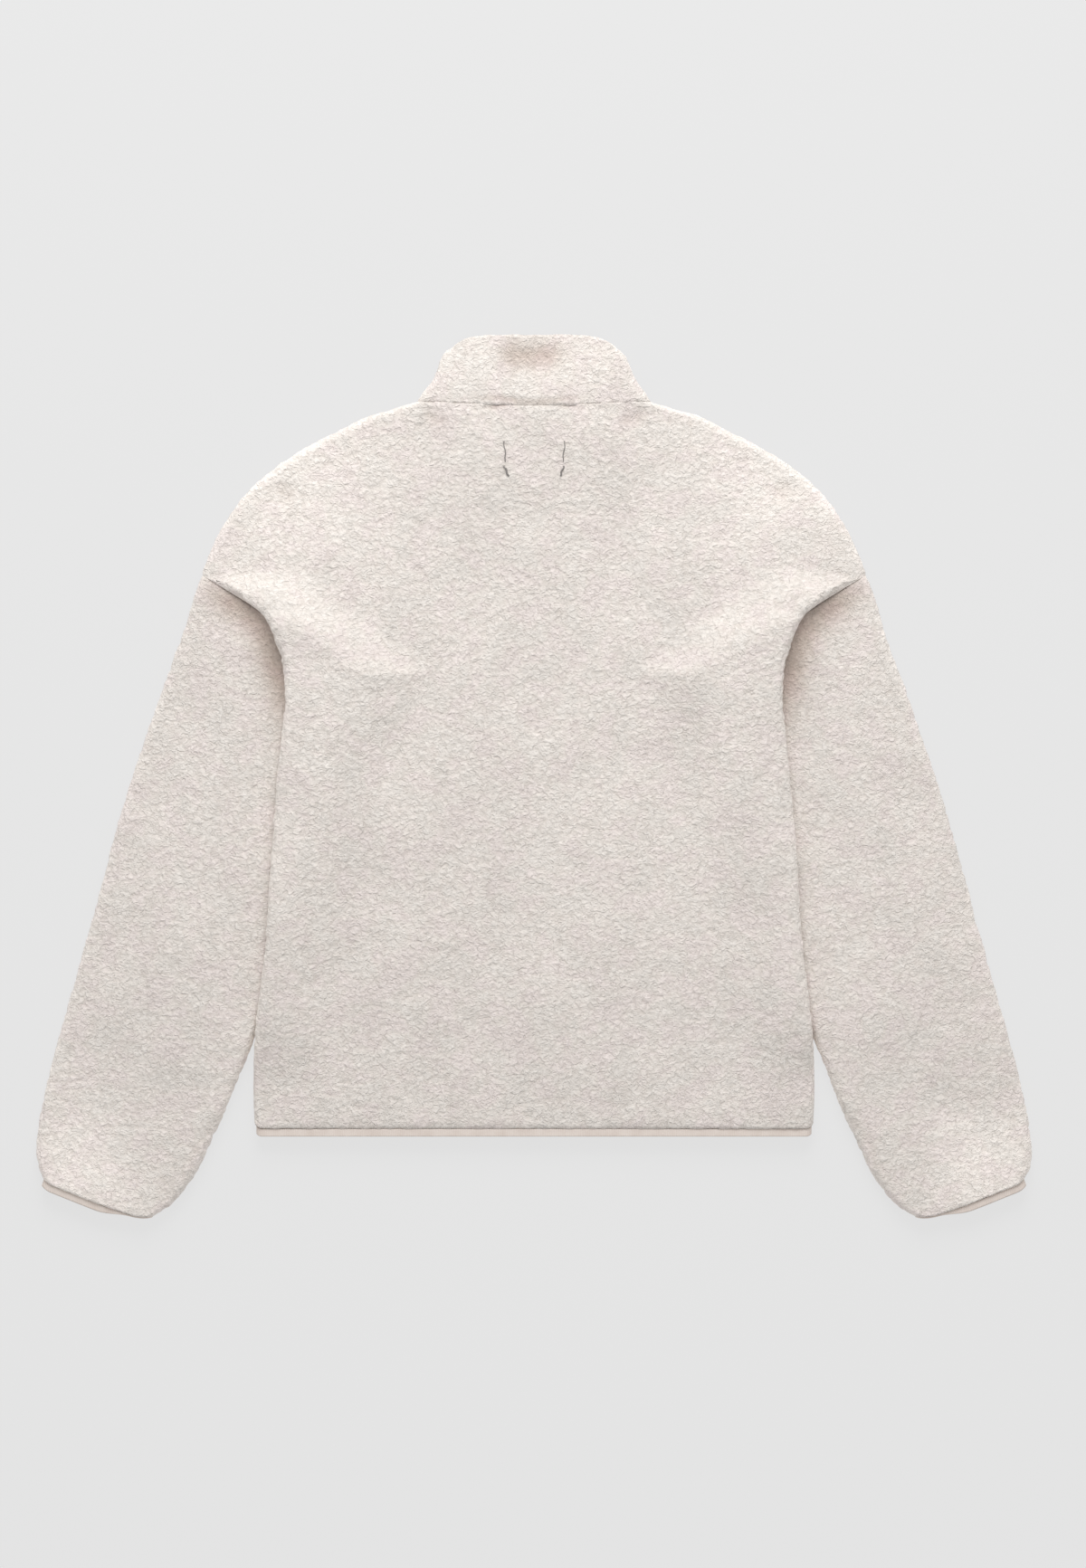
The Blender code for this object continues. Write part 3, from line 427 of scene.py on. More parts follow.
def front_rows():
    """All rows of the right front, neck to hem."""
    ends = []
    for centre_y, half, stretch, sag in dense_shoulder():
        hinge = np.array((half, shoulder_height(half)))
        ends.append((centre_y, hinge, 0.0, stretch, sag))
    for along, centre_y, height, _, _ in dense_armhole():
        hinge = SLEEVE_TOP + along * ARMHOLE_WAY + HALF_GAP * ARMHOLE_NORMAL
        ends.append((centre_y, hinge, 90.0 if along > 5.0 else 45.0, 1.2, 0.0))
    for angle, centre_y in ARMPIT_ROWS:
        around = EDGE_RADIUS * (1.0 - math.cos(math.radians(angle)))
        hinge = ARMPIT - ARMHOLE_WAY * (around - SEAM_GAP) + SEAM_GAP * ARMHOLE_NORMAL
        ends.append((centre_y, hinge, angle, 1.05, 0.0))
    for height, angle in SIDE_ROWS:
        ends.append((centre_of_side_row(height), side_seam(height, angle), 0.0, 1.05, 0.0))
    rows = []
    for centre_y, hinge, roll_from, stretch, bow in ends:
        share = max(centre_y - 440.0, 0.0) / (BACK_NECK_Y - 440.0)
        start = np.array((FRONT_EDGE_X, centre_y - NECK_LOSS * share**2))
        rows.append(front_row(start, hinge, roll_from, stretch, bow))
    return rows


def sleeve_section(outer, inner):
    """Pile and backing side of a sleeve row's section: distance from the outer edge, height.

    It starts under the outer edge's roll and runs over the top to the inner edge and back beneath.
    """
    width = float(np.linalg.norm(inner - outer))
    flat = width - 2 * EDGE_RADIUS
    over = EDGE_RADIUS + flat * np.linspace(0.0, 1.0, SLEEVE_TOP_STEPS)[1:-1]
    under = EDGE_RADIUS + flat * np.linspace(1.0, 0.0, SLEEVE_LOW_STEPS)[1:-1]
    top = FLAT_HEIGHT + dents(*(outer + over[:, None] * unit(inner - outer)).T, SLEEVE_DENTS)
    sides = []
    for radius, low in ((EDGE_RADIUS, 0.0), (EDGE_RADIUS - WALL, WALL)):
        rolled, z = radius * np.cos(ROLL), EDGE_RADIUS + radius * np.sin(ROLL)
        across = (EDGE_RADIUS - rolled, over, width - EDGE_RADIUS + rolled[::-1], under)
        heights = (z, top - low, z[::-1], np.full(len(under), low))
        sides.append(np.stack((np.concatenate(across), np.concatenate(heights)), axis=1))
    return width, sides


def sleeve_line(share):
    """Outer and inner end of a sleeve row, and how far it bows towards the cuff."""
    outer_y = SLEEVE_TOP[1] + (CUFF_OUTER_Y - SLEEVE_TOP[1]) * share
    inner_y = ARMPIT[1] + (CUFF_INNER_Y - ARMPIT[1]) * share
    outer = np.array((outer_edge(outer_y), outer_y))
    inner = np.array((inner_edge(inner_y), inner_y))
    if share == 0.0:
        outer = SLEEVE_TOP - HALF_GAP * ARMHOLE_NORMAL
        inner = ARMPIT - HALF_GAP * ARMHOLE_NORMAL
    return outer, inner, CUFF_BOW * smoothstep((share - CUFF_BOW_FROM) / (1 - CUFF_BOW_FROM))


def bowed(share, bow):
    return bow * np.sin(math.pi * np.clip(share, 0.0, 1.0) ** 1.3)


def sleeve_grids():
    """Pile and backing grids of the right sleeve."""
    pile, backing = [], []
    for number in range(SLEEVE_ROWS + 1):
        outer, inner, bow = sleeve_line(number / SLEEVE_ROWS)
        width, sides = sleeve_section(outer, inner)
        for flat, rows in zip(sides, (pile, backing)):
            rows.append(placed(flat, outer, unit(inner - outer)))
            rows[-1][:, 1] -= bowed(flat[:, 0] / width, bow)
    return np.array(pile), np.array(backing)


def cuff_binding_grids():
    """Outer and inner grids of the binding that runs round the right cuff."""
    outer, inner, bow = sleeve_line(1.0)
    way = unit(inner - outer)
    down = np.array((-way[1], way[0]))
    width, (pile, backing) = sleeve_section(outer, inner)
    depth_in = (WALL - BINDING_THICK) / 2 / WALL
    grids = []
    for depth in (depth_in, 1 - depth_in):
        flat = pile + (backing - pile) * depth
        share = flat[:, 0] / width
        shown = 1 - smoothstep((share - CUFF_BINDING_FADE[0]) / CUFF_BINDING_FADE[1])
        rows = []
        for edge in (0.0, 1.0):
            points = placed(flat, outer, way)
            reach = SEAM_GAP + edge * (CUFF_BINDING_LEAST + CUFF_BINDING * shown)
            points[:, :2] += down * reach[:, None]
            points[:, 1] -= bowed(share, bow)
            rows.append(points)
        grids.append(np.array(rows))
    return grids


def band_section(bend, radius, stretch, low_steps, high_steps):
    """Half of a lying band's section: from the zip edge out beneath, round the bend and back over."""
    low = np.linspace(FRONT_EDGE_X, bend, low_steps)[:-1]
    high = np.linspace(bend, 0.0, high_steps)[1:]
    across = np.concatenate((low, bend + radius * stretch * np.cos(ROLL), high))
    angles = np.pad(ROLL, (len(low), len(high)), "edge")
    return across, EDGE_RADIUS + radius * np.sin(angles)


def collar_grids():
    """Pile and backing grids of the collar, a band from zip edge to zip edge round the back."""
    pile, backing = [], []
    heights, halves = np.array(COLLAR_ROWS)[:, :2].T
    for (centre_y, half, rise, drop), slope in zip(COLLAR_ROWS, np.gradient(halves, heights)):
        stretch = min(math.sqrt(1.0 + slope**2), 1.3)
        share = None
        for radius, rows in ((EDGE_RADIUS, pile), (EDGE_RADIUS - WALL, backing)):
            x, z = band_section(half - EDGE_RADIUS * stretch, radius, stretch, 41, 42)
            share = np.minimum(x / half, 1.0) if share is None else share
            y = centre_y + rise * share - drop * share**6
            y -= np.where(z < EDGE_RADIUS, FRONT_NECK_DROP * (1 - share**2), 0.0)
            rows.append(np.stack((x, y, z), axis=1))
    return both_halves(pile), both_halves(backing)


def hem_binding_grids():
    """Outer and inner grids of the hem binding, from zip edge to zip edge round the back."""
    middle = EDGE_RADIUS - WALL / 2
    grids = []
    for radius in (middle + BINDING_THICK / 2, middle - BINDING_THICK / 2):
        x, z = band_section(side_edge(HEM_Y) - EDGE_RADIUS, radius, 1.0, 81, 81)
        grids.append(both_halves([np.stack((x, 0.0 * x + y, z), axis=1) for y in HEM_BINDING]))
    return grids


# --- Camera, light and floor ---
PHOTO_MM = 0.85
PHOTO_HIGH = 1733
CAMERA_X, CAMERA_Y = 8.5, 328.5
CAMERA_DISTANCE = 3.0
OUTLINE_Z = 8.0
SENSOR_MM = 36.0
WORLD_LIGHT = 0.62
# The one lamp, beyond the collar: place, width across and power.
SOFTBOX_PLACE, SOFTBOX_WIDE, SOFTBOX_POWER = (0.0, 2.3, 1.7), 2.0, 60.0
FLOOR_TONE, FLOOR_DIFFUSE = 0.791, 0.11
FLOOR_REACH, FLOOR_Z = 4.0, -0.0004
WHITE = (1.0, 1.0, 1.0)


def placed_object(name, data):
    made = bpy.data.objects.new(name, data)
    bpy.context.scene.collection.objects.link(made)
    return made


def make_camera():
    camera = bpy.data.cameras.new("camera")
    camera.sensor_fit = "VERTICAL"
    camera.sensor_height = SENSOR_MM
    camera.lens = SENSOR_MM * CAMERA_DISTANCE / (PHOTO_HIGH * PHOTO_MM * MM)
    camera.clip_end = 20.0
    holder = placed_object("camera", camera)
    height = OUTLINE_Z * MM + CAMERA_DISTANCE
    holder.location = (CAMERA_X * MM, (CAMERA_Y - FRAME_CENTRE_Y) * MM, height)
    bpy.context.scene.camera = holder
    bpy.context.scene.view_settings.view_transform = "Standard"


def make_light():
    lamp = bpy.data.lights.new("softbox", "AREA")
    lamp.shape = "DISK"
    lamp.size = SOFTBOX_WIDE
    lamp.energy = SOFTBOX_POWER
    holder = placed_object("softbox", lamp)
    holder.location = SOFTBOX_PLACE
    holder.rotation_euler = (-holder.location).to_track_quat("-Z", "Y").to_euler()
    world = bpy.data.worlds.new("studio")
    world.use_nodes = True
    ground = world.node_tree.nodes["Background"]
    ground.inputs["Color"].default_value = (*WHITE, 1.0)
    ground.inputs["Strength"].default_value = WORLD_LIGHT
    bpy.context.scene.world = world


def floor_material():
    """Pale paper, partly lit from within so that it stays even, as in the photo."""
    return Nodes("floor_paper").finished({
        "Base Color": (FLOOR_DIFFUSE,) * 3, "Roughness": 0.9, "Specular IOR Level": 0.0,
        "Emission Color": WHITE, "Emission Strength": FLOOR_TONE - FLOOR_DIFFUSE,
    })


def make_floor():
    mesh = bpy.data.meshes.new("floor")
    signs = ((-1, -1), (1, -1), (1, 1), (-1, 1))
    corners = [(i * FLOOR_REACH, j * FLOOR_REACH, FLOOR_Z) for i, j in signs]
    mesh.from_pydata(corners, [], [(0, 1, 2, 3)])
    mesh.materials.append(floor_material())
    placed_object("floor", mesh)


# --- Materials ---
class Nodes:
    """Short calls for a material's node tree."""

    def __init__(self, name):
        self.material = bpy.data.materials.new(name)
        self.material.use_nodes = True
        self.tree = self.material.node_tree
        self.shader = self.tree.nodes["Principled BSDF"]

    def give(self, place, value):
        """Sets a socket to a number or a colour, or links it to another node's result."""
        if isinstance(value, (int, float)):
            place.default_value = value
        elif isinstance(value, tuple):
            place.default_value = (*value, 1.0)
        else:
            self.tree.links.new(value, place)

    def add(self, kind, **settings):
        node = self.tree.nodes.new("ShaderNode" + kind)
        for key, value in settings.items():
            if key in node.inputs:
                self.give(node.inputs[key], value)
            else:
                setattr(node, key, value)
        return node

    def place(self, scale=WHITE):
        scaled = self.add("Mapping", Vector=self.add("TexCoord").outputs["Object"])
        scaled.inputs["Scale"].default_value = scale
        return scaled.outputs["Vector"]

    def ramp(self, source, *stops):
        node = self.add("ValToRGB", Fac=source)
        for _ in stops[2:]:
            node.color_ramp.elements.new(0.5)
        for element, (place, colour) in zip(node.color_ramp.elements, stops):
            element.position = place
            element.color = (*colour, 1.0)
        return node.outputs["Color"]

    def noise(self, vector, scale, detail=2.0, rough=0.5, bent=0.0):
        settings = {"Scale": scale, "Detail": detail, "Roughness": rough, "Distortion": bent}
        return self.add("TexNoise", Vector=vector, **settings).outputs["Fac"]

    def weave(self, vector, way, scale, bent=0.0):
        node = self.add("TexWave", wave_type="BANDS", bands_direction=way, Vector=vector)
        node.inputs["Scale"].default_value = scale
        node.inputs["Distortion"].default_value = bent
        return node.outputs["Fac"]

    def maths(self, operation, first, second):
        node = self.add("Math", operation=operation)
        self.give(node.inputs[0], first)
        self.give(node.inputs[1], second)
        return node.outputs["Value"]

    def mix(self, share, first, second, blend="MULTIPLY"):
        node = self.add("Mix", data_type="RGBA", blend_type=blend)
        for name, value in (("Factor", share), ("A", first), ("B", second)):
            self.give(next(i for i in node.inputs if i.name == name and i.enabled), value)
        return next(o for o in node.outputs if o.enabled)

    def bump(self, height, distance, strength):
        node = self.add("Bump", Strength=strength, Distance=distance, Height=height)
        return node.outputs["Normal"]

    def finished(self, sockets):
        """The material, its shader given these numbers, colours and results."""
        for name, value in sockets.items():
            self.give(self.shader.inputs[name], value)
        return self.material


def pile_material():
    """Curled pile: fine crooked curls with shade painted into their hollows, soft mottling and faint
    tints.
    """
    n = Nodes("pile_fleece")
    spot = n.place((0.9, 1.0, 1.0))
    curl = n.noise(spot, 262.0, 2.0, 0.55, 1.3)
    loops = n.add("TexVoronoi", feature="SMOOTH_F1", Vector=spot, Scale=230.0, Smoothness=0.35)
    loops = n.maths("MULTIPLY", loops.outputs["Distance"], -0.25)
    height = n.maths("ADD", n.maths("MULTIPLY", curl, 0.8), loops)
    # The curls' hollows are painted darker, as shade.
    colour = n.ramp(height, (0.12, (0.72, 0.66, 0.615)), (0.40, (0.845, 0.785, 0.742)))
    tints = ((0.38, (1.0, 0.98, 0.99)), (0.5, (1.0, 1.0, 0.99)), (0.62, (0.984, 0.997, 0.99)))
    colour = n.mix(1.0, colour, n.ramp(n.noise(spot, 48.0), *tints))
    mottle = n.ramp(n.noise(spot, 21.0, 3.0, 0.6), (0.3, (0.95,) * 3), (0.7, (1.05,) * 3))
    # Painted shade from the drawn creases, multiplied in as a warm brown.
    painted_shade = n.add("Attribute", attribute_name="painted_shade").outputs["Fac"]
    colour = n.mix(painted_shade, n.mix(1.0, colour, mottle), (0.45, 0.33, 0.26))
    # Painted light and shade: the colour scaled by the points' painted rim light and lit or shaded
    # patches.
    colour_with_painted_light = n.add("VectorMath", operation="SCALE")
    n.give(colour_with_painted_light.inputs[0], colour)
    n.give(colour_with_painted_light.inputs["Scale"], n.add("Attribute", attribute_name="painted_light_and_shade").outputs["Fac"])
    return n.finished({
        "Base Color": colour_with_painted_light.outputs["Vector"], "Normal": n.bump(height, 0.003, 0.9),
        "Roughness": 0.95, "Specular IOR Level": 0.12, "Sheen Weight": 0.2, "Sheen Roughness": 0.5,
    })


def binding_material():
    """Ribbed stretch binding, unevenly dyed."""
    n = Nodes("stretch_binding")
    spot = n.place()
    weave = n.weave(spot, "X", 220.0, 0.6)
    dyed = ((0.3, (0.74, 0.65, 0.59)), (0.75, (0.84, 0.76, 0.70)))
    colour = n.ramp(n.noise(spot, 90.0, 3.0), *dyed)
    return n.finished({
        "Base Color": n.mix(n.maths("MULTIPLY", weave, 0.25), colour, (0.7, 0.6, 0.55)),
        "Normal": n.bump(weave, 0.0003, 0.5), "Roughness": 0.85, "Sheen Weight": 0.15,
    })


def tape_material():
    """Woven tape, and harder, paler teeth below it."""
    n = Nodes("zip_tape")
    spot = n.add("TexCoord").outputs["Object"]
    height = n.add("SeparateXYZ", Vector=spot).outputs["Z"]
    tooth = n.maths("LESS_THAN", height, (TAPE_LOW - 0.2) * MM)
    weave = n.weave(spot, "Y", 520.0, 1.0)
    cloth = n.ramp(weave, (0.2, (0.60, 0.54, 0.49)), (0.8, (0.70, 0.64, 0.59)))
    blotch = n.ramp(n.noise(spot, 140.0, 3.0), (0.3, (0.93,) * 3), (0.7, WHITE))
    return n.finished({
        "Base Color": n.mix(tooth, n.mix(1.0, cloth, blotch), (0.74, 0.70, 0.66), "MIX"),
        "Roughness": n.maths("SUBTRACT", 0.85, n.maths("MULTIPLY", tooth, 0.45)),
        "Normal": n.bump(weave, 0.0002, 0.4),
    })


def metal_material(name, colour, rough):
    """Cast metal: faint grain and slightly uneven polish."""
    n = Nodes(name)
    grain = n.noise(n.place(), 900.0, 4.0, 0.6)
    dull = tuple(0.82 * value for value in colour)
    return n.finished({
        "Base Color": n.ramp(grain, (0.3, dull), (0.7, colour)),
        "Roughness": n.maths("ADD", rough, n.maths("MULTIPLY", grain, 0.12)),
        "Normal": n.bump(grain, 0.0001, 0.3), "Metallic": 1.0,
    })


def thread_material():
    n = Nodes("tack_thread")
    twist = n.weave(n.place(), "DIAGONAL", 900.0)
    colour = n.ramp(twist, (0.2, (0.16, 0.15, 0.14)), (0.8, (0.30, 0.28, 0.27)))
    return n.finished({"Base Color": colour, "Roughness": 0.8})


# --- Noise, sampled in space ---
def hashed(cells, salt):
    """Even random numbers from 0 to 1, one for each whole-number cell."""
    x, y, z = (cells[..., i].astype(np.int64) for i in range(3))
    mixed = (x * 73856093) ^ (y * 19349663) ^ (z * 83492791) ^ (salt * 2654435761)
    mixed = mixed & 0xFFFFFFFF
    mixed = ((mixed ^ (mixed >> 15)) * 2246822519) & 0xFFFFFFFF
    mixed = ((mixed ^ (mixed >> 13)) * 3266489917) & 0xFFFFFFFF
    return ((mixed ^ (mixed >> 16)) & 0xFFFFFF) / float(0x1000000)


CORNERS = [(i, j, k) for i in (0, 1) for j in (0, 1) for k in (0, 1)]
NEIGHBOURS = [(i, j, k) for i in (-1, 0, 1) for j in (-1, 0, 1) for k in (-1, 0, 1)]


def value_noise(points, size, salt):
    """Smooth noise from -1 to 1 with lumps of about this size."""
    scaled = points / size
    base = np.floor(scaled)
    part = scaled - base
    part = part * part * (3 - 2 * part)
    total = np.zeros(len(points))
    for corner in CORNERS:
        weight = np.prod(np.where(np.array(corner) == 1, part, 1 - part), axis=1)
        total += weight * hashed(base + np.array(corner), salt)
    return 2 * total - 1


def curls(points, size, salt):
    """Rounded lumps with hollows between them: 1 on a curl's top, towards 0 between curls."""
    scaled = points / size
    base = np.floor(scaled)
    nearest = np.full(len(points), 9.0)
    for offset in NEIGHBOURS:
        cell = base + np.array(offset)
        spot = np.stack([hashed(cell, salt + i) for i in range(3)], axis=1)
        away = ((cell + spot - scaled) ** 2).sum(axis=1)
        nearest = np.minimum(nearest, away)
    return np.clip(1.0 - nearest, -0.3, 1.0)


# --- Cloth shells ---
# One inner point for this many outer ones each way, and how many points a rim takes to full pile.
COARSE_STEP, RIM_POINTS = 4, 3.0


def row_slopes(grid, keys):
    """Slopes of smooth curves through a grid's rows that never swing past the rows."""
    gaps = np.diff(keys)[:, None, None]
    rises = np.diff(grid, axis=0) / gaps
    before, after = rises[:-1], rises[1:]
    first = 2 * gaps[1:] + gaps[:-1]
    second = gaps[1:] + 2 * gaps[:-1]
    same = before * after > 0.0
    safe_before, safe_after = np.where(same, before, 1.0), np.where(same, after, 1.0)
    middle = np.where(same, (first + second) / (first / safe_before + second / safe_after), 0.0)
    return np.concatenate((rises[:1], middle, rises[-1:]))


def refined(pile, backing, spacing):
    """More rows, by the same smooth curve through both sides' rows."""
    steps = np.linalg.norm(np.diff(pile, axis=0), axis=2).mean(axis=1)
    keys = np.concatenate(((0.0,), np.cumsum(steps)))
    wanted = np.linspace(0.0, keys[-1], int(round(keys[-1] / spacing)) + 1)
    at = np.clip(np.searchsorted(keys, wanted, side="right") - 1, 0, len(keys) - 2)
    width = (keys[at + 1] - keys[at])[:, None, None]
    t = (wanted - keys[at])[:, None, None] / width
    made = []
    for grid in (pile, backing):
        slopes = row_slopes(grid, keys)
        made.append(hermite(t, width, (grid[at], grid[at + 1]), (slopes[at], slopes[at + 1])))
    return made


def normals_of(grid, backing, ring):
    """Outward direction at each point of a grid."""
    if ring:
        along = np.roll(grid, -1, axis=1) - np.roll(grid, 1, axis=1)
    else:
        along = np.gradient(grid, axis=1)
    normal = np.cross(along, np.gradient(grid, axis=0))
    normal = normal / np.maximum(np.linalg.norm(normal, axis=2, keepdims=True), 1e-9)
    return normal * np.sign((normal * (grid - backing)).sum(axis=2).mean())


def from_ends(count):
    """How many points each of a line's points is from the nearer end."""
    return np.minimum(np.arange(count), np.arange(count)[::-1])


def rim_fade(shape, ring):
    """0 on a grid's open rims, rising to 1 a few points in."""
    rows, columns = (np.clip(from_ends(count) / RIM_POINTS, 0.0, 1.0) for count in shape[:2])
    return rows[:, None] * (np.ones(shape[1]) if ring else columns)


def strip(fine, coarse, places):
    """Triangles between a line of fine points and the coarse line behind it."""
    faces = []
    for i, (low, high) in enumerate(zip(places[:-1], places[1:])):
        middle = (low + high) // 2
        for j in range(low, high):
            faces.append((fine[j], fine[j + 1], coarse[i] if j < middle else coarse[i + 1]))
        faces.append((coarse[i], fine[middle], coarse[i + 1]))
    return faces


def grid_faces(number, ring):
    """Quads of a grid of point numbers."""
    after = np.roll(number, -1, axis=1) if ring else number[:, 1:]
    first = number if ring else number[:, :-1]
    return np.stack((first[:-1], after[:-1], after[1:], first[1:]), axis=2).reshape(-1, 4)


def solid_object(name, points, faces):
    """An object from points in garment millimetres, with its faces turned outwards."""
    points = (np.asarray(points) - np.array((0.0, FRAME_CENTRE_Y, 0.0))) * MM
    mesh = bpy.data.meshes.new(name)
    mesh.from_pydata(points.tolist(), [], faces)
    mesh.calc_loop_triangles()
    corners = np.empty(3 * len(mesh.loop_triangles), dtype=np.int64)
    mesh.loop_triangles.foreach_get("vertices", corners)
    a, b, c = (points[corners.reshape(-1, 3)[:, i]] for i in range(3))
    if (np.cross(a, b) * c).sum() < 0:
        mesh.flip_normals()
    return placed_object(name, mesh)


def shell(name, pile, backing, ring=False, shades=None):
    """One closed thin shell: a fine outer grid, a coarse inner one, and rims between them."""
    rows, columns = pile.shape[:2]
    row_places = [*range(0, rows - 1, COARSE_STEP), rows - 1]
    column_places = list(range(0, columns if ring else columns - 1, COARSE_STEP))
    if not ring:
        column_places.append(columns - 1)
    inner = backing[np.ix_(row_places, column_places)]
    outer_number = np.arange(rows * columns).reshape(rows, columns)
    inner_number = rows * columns + np.arange(inner[..., 0].size).reshape(inner.shape[:2])
    faces = grid_faces(outer_number, ring).tolist()
    faces += grid_faces(inner_number, ring)[:, ::-1].tolist()
    rounded = len(faces)
    for end in (0, -1):
        fine, coarse = outer_number[end].tolist(), inner_number[end].tolist()
        places = column_places
        if ring:
            fine, coarse, places = fine + fine[:1], coarse + coarse[:1], places + [columns]
        made = strip(fine, coarse, places)
        faces += made if end else [face[::-1] for face in made]
    for end in () if ring else (0, -1):
        made = strip(outer_number[:, end].tolist(), inner_number[:, end].tolist(), row_places)
        faces += [face[::-1] for face in made] if end else made
    points = np.concatenate((pile.reshape(-1, 3), inner.reshape(-1, 3)))
    made = solid_object(name, points, faces)
    made.data.polygons.foreach_set("use_smooth", [i < rounded for i in range(len(faces))])
    # The outer points carry their painted shade and painted light as attributes.
    for key, rest in (("painted_shade", 0.0), ("painted_light_and_shade", 1.0)) if shades else ():
        values = np.full(len(points), rest, dtype=np.float32)
        values[: rows * columns] = shades[key].reshape(-1)
        made.data.attributes.new(key, "FLOAT", "POINT").data.foreach_set("value", values)
    return made


def line_distance(points, line):
    """Distance in plan from each point to a drawn line, and the share of the line's length there."""
    line = np.array(line, dtype=float)
    best = np.full(len(points), 1e9)
    place = np.zeros(len(points))
    lengths = np.linalg.norm(np.diff(line, axis=0), axis=1)
    gone = 0.0
    for start, end, length in zip(line[:-1], line[1:], lengths):
        way = (end - start) / length
        along = np.clip((points[:, :2] - start) @ way, 0.0, length)
        away = np.linalg.norm(points[:, :2] - start - along[:, None] * way, axis=1)
        nearer = away < best
        best = np.where(nearer, away, best)
        place = np.where(nearer, (gone + along) / lengths.sum(), place)
        gone += length
    return best, place


def creased(points, normals, creases):
    """Height added by drawn creases and their darkness, on cloth that faces up.

    Each crease is its line, its half width, its depth and the darkness of the shade painted along it.
    Both ends fade out.
    """
    height = np.zeros(len(points))
    dark = np.zeros(len(points))
    upward = np.clip((normals[:, 2] - 0.2) / 0.4, 0.0, 1.0)
    for line, wide, deep, darkness in creases:
        away, place = line_distance(points, line)
        ends = np.clip(place / 0.25, 0.0, 1.0) * np.clip((1 - place) / 0.4, 0.0, 1.0)
        near = np.exp(-((away / wide) ** 2)) * upward * ends * ends * (3 - 2 * ends)
        height -= deep * near
        # Shade painted along each crease, darkest on its line.
        dark = np.maximum(dark, darkness * near)
    return height, dark


def piled(pile, backing, ring, strength, creases=(), quiet=1.0):
    """A pile grid with its lumps, curls and creases, and the painted shade and painted light of its
    points.
    """
    normals = normals_of(pile, backing, ring).reshape(-1, 3)
    points = pile.reshape(-1, 3)
    fade = (rim_fade(pile.shape, ring) * quiet).reshape(-1)
    lumps = 0.55 * value_noise(points, 34.0, 11) + 0.45 * value_noise(points, 15.0, 23)
    small = curls(points, 6.4, 41) - 0.55
    fine = value_noise(points, 3.1, 57)
    edge = np.clip(1.0 - np.abs(normals[:, 2]), 0.0, 1.0)
    rough = strength * (1 + EDGE_FUZZ * edge) * (0.75 * lumps + 1.25 * small + 0.35 * fine)
    height, dark = creased(points, normals, creases)
    amount = fade * rough + height
    below = normals[:, 2] < -0.15
    amount = np.where(below, np.minimum(amount, 0.0) - 0.4 * fade, amount)
    moved = points + normals * amount[:, None]
    moved[:, 2] = np.maximum(moved[:, 2], 0.0)
    ends = np.zeros(pile.shape[:2])
    ends[0], ends[-1] = 1.0, 1.0
    moved[:, 1] += RAGGED * ends.reshape(-1) * value_noise(points, 5.0, 71)
    # Painted rim light where the pile rolls over an edge, facing sideways.
    painted_light_and_shade = 1.0 + PAINTED_RIM_LIGHT * edge * (normals[:, 2] > -0.5)
    # Patches of painted light and painted shade.
    for x, y, wide, high, more in LIGHT_AND_SHADE_PATCHES:
        painted_light_and_shade += more * np.exp(-(((points[:, 0] - x) / wide) ** 2) - ((points[:, 1] - y) / high) ** 2)
    shades = {"painted_shade": dark.reshape(pile.shape[:2]), "painted_light_and_shade": painted_light_and_shade.reshape(pile.shape[:2])}
    return moved.reshape(pile.shape), shades


# --- The jacket ---
SIDES = (("right", 1.0), ("left", -1.0))
# Distance between a piece's rows, and how strongly its pile stands up.
ROW_SPACING = {"back": 2.45, "sleeve": 2.5, "front": 3.6, "collar": 2.4, "binding": 0.9}
PILE_STRENGTH, COLLAR_STRENGTH = 0.8, 0.7
# On a rolled edge: how much lighter its painted rim light makes the pile, and how much rougher the pile
# is there.
PAINTED_RIM_LIGHT, EDGE_FUZZ = 0.2, 0.8
# How far a piece's first and last row wander, and how far the sleeve reaches past its seam.
RAGGED, SEAM_OVERLAP = 0.5, 0.6
# How far the collar's first row moves towards the hem, and its change in height: above, beneath.
COLLAR_UNDER, COLLAR_UNDER_FRONT = (1.3, -0.3), (1.6, 0.3)
# Radius of the hem's corners, and how far up the side they are felt.
HEM_CORNER, HEM_CORNER_HIGH = 7.0, 22.0
# Corners at the cuff's inner and outer end: radius, depth. Share of the sleeve where they begin.
CUFF_CORNERS, CUFF_CORNERS_FROM = ((24.0, 5.5), (12.0, 4.0)), 0.87
# The back's pile lies still at its hidden seams: over this many points, and below this height.
STILL_POINTS, STILL_BELOW, STILL_FADE = 12, 520.0, 30.0
TOOTH_PITCH, TOOTH_STEP = 1.4, 0.7
TACK_STEPS, TACK_SIDES = 14, 6
METALS = (
    ("zip_slider", (0.62, 0.58, 0.53), 0.3), ("zip_pull", (0.64, 0.60, 0.55), 0.26),
    ("zip_box", (0.60, 0.56, 0.51), 0.34),
)
# Short dark threads at the ends of the hidden neck tape: start, end, thickness.
TACKS = (
    ((-28.0, 650.0), (-26.4, 630.5), 0.45), ((-28.0, 626.5), (-23.8, 617.0), 0.8),
    ((28.9, 650.0), (27.2, 630.5), 0.45), ((28.0, 626.5), (24.6, 617.0), 0.8),
)
# Patches painted lighter or darker as light and shade, such as lit shoulders and a shaded middle: x, y,
# reach across, reach along, how much.
LIGHT_AND_SHADE_PATCHES = (
    (-235.0, 610.0, 90.0, 80.0, 0.15), (235.0, 610.0, 90.0, 80.0, 0.13), (0.0, 730.0, 110.0, 50.0, 0.1),
    (-425.0, -30.0, 60.0, 55.0, 0.2), (425.0, -30.0, 60.0, 55.0, 0.21), (0.0, 0.0, 300.0, 120.0, -0.02),
    (0.0, 625.0, 150.0, 60.0, -0.06),
    (-385.0, 45.0, 60.0, 60.0, -0.02), (385.0, 45.0, 60.0, 60.0, -0.02),
)


def turned(line, sign=-1.0):
    """A line drawn on the right side, or its mirror image on the left."""
    return [(sign * x, y) for x, y in line]


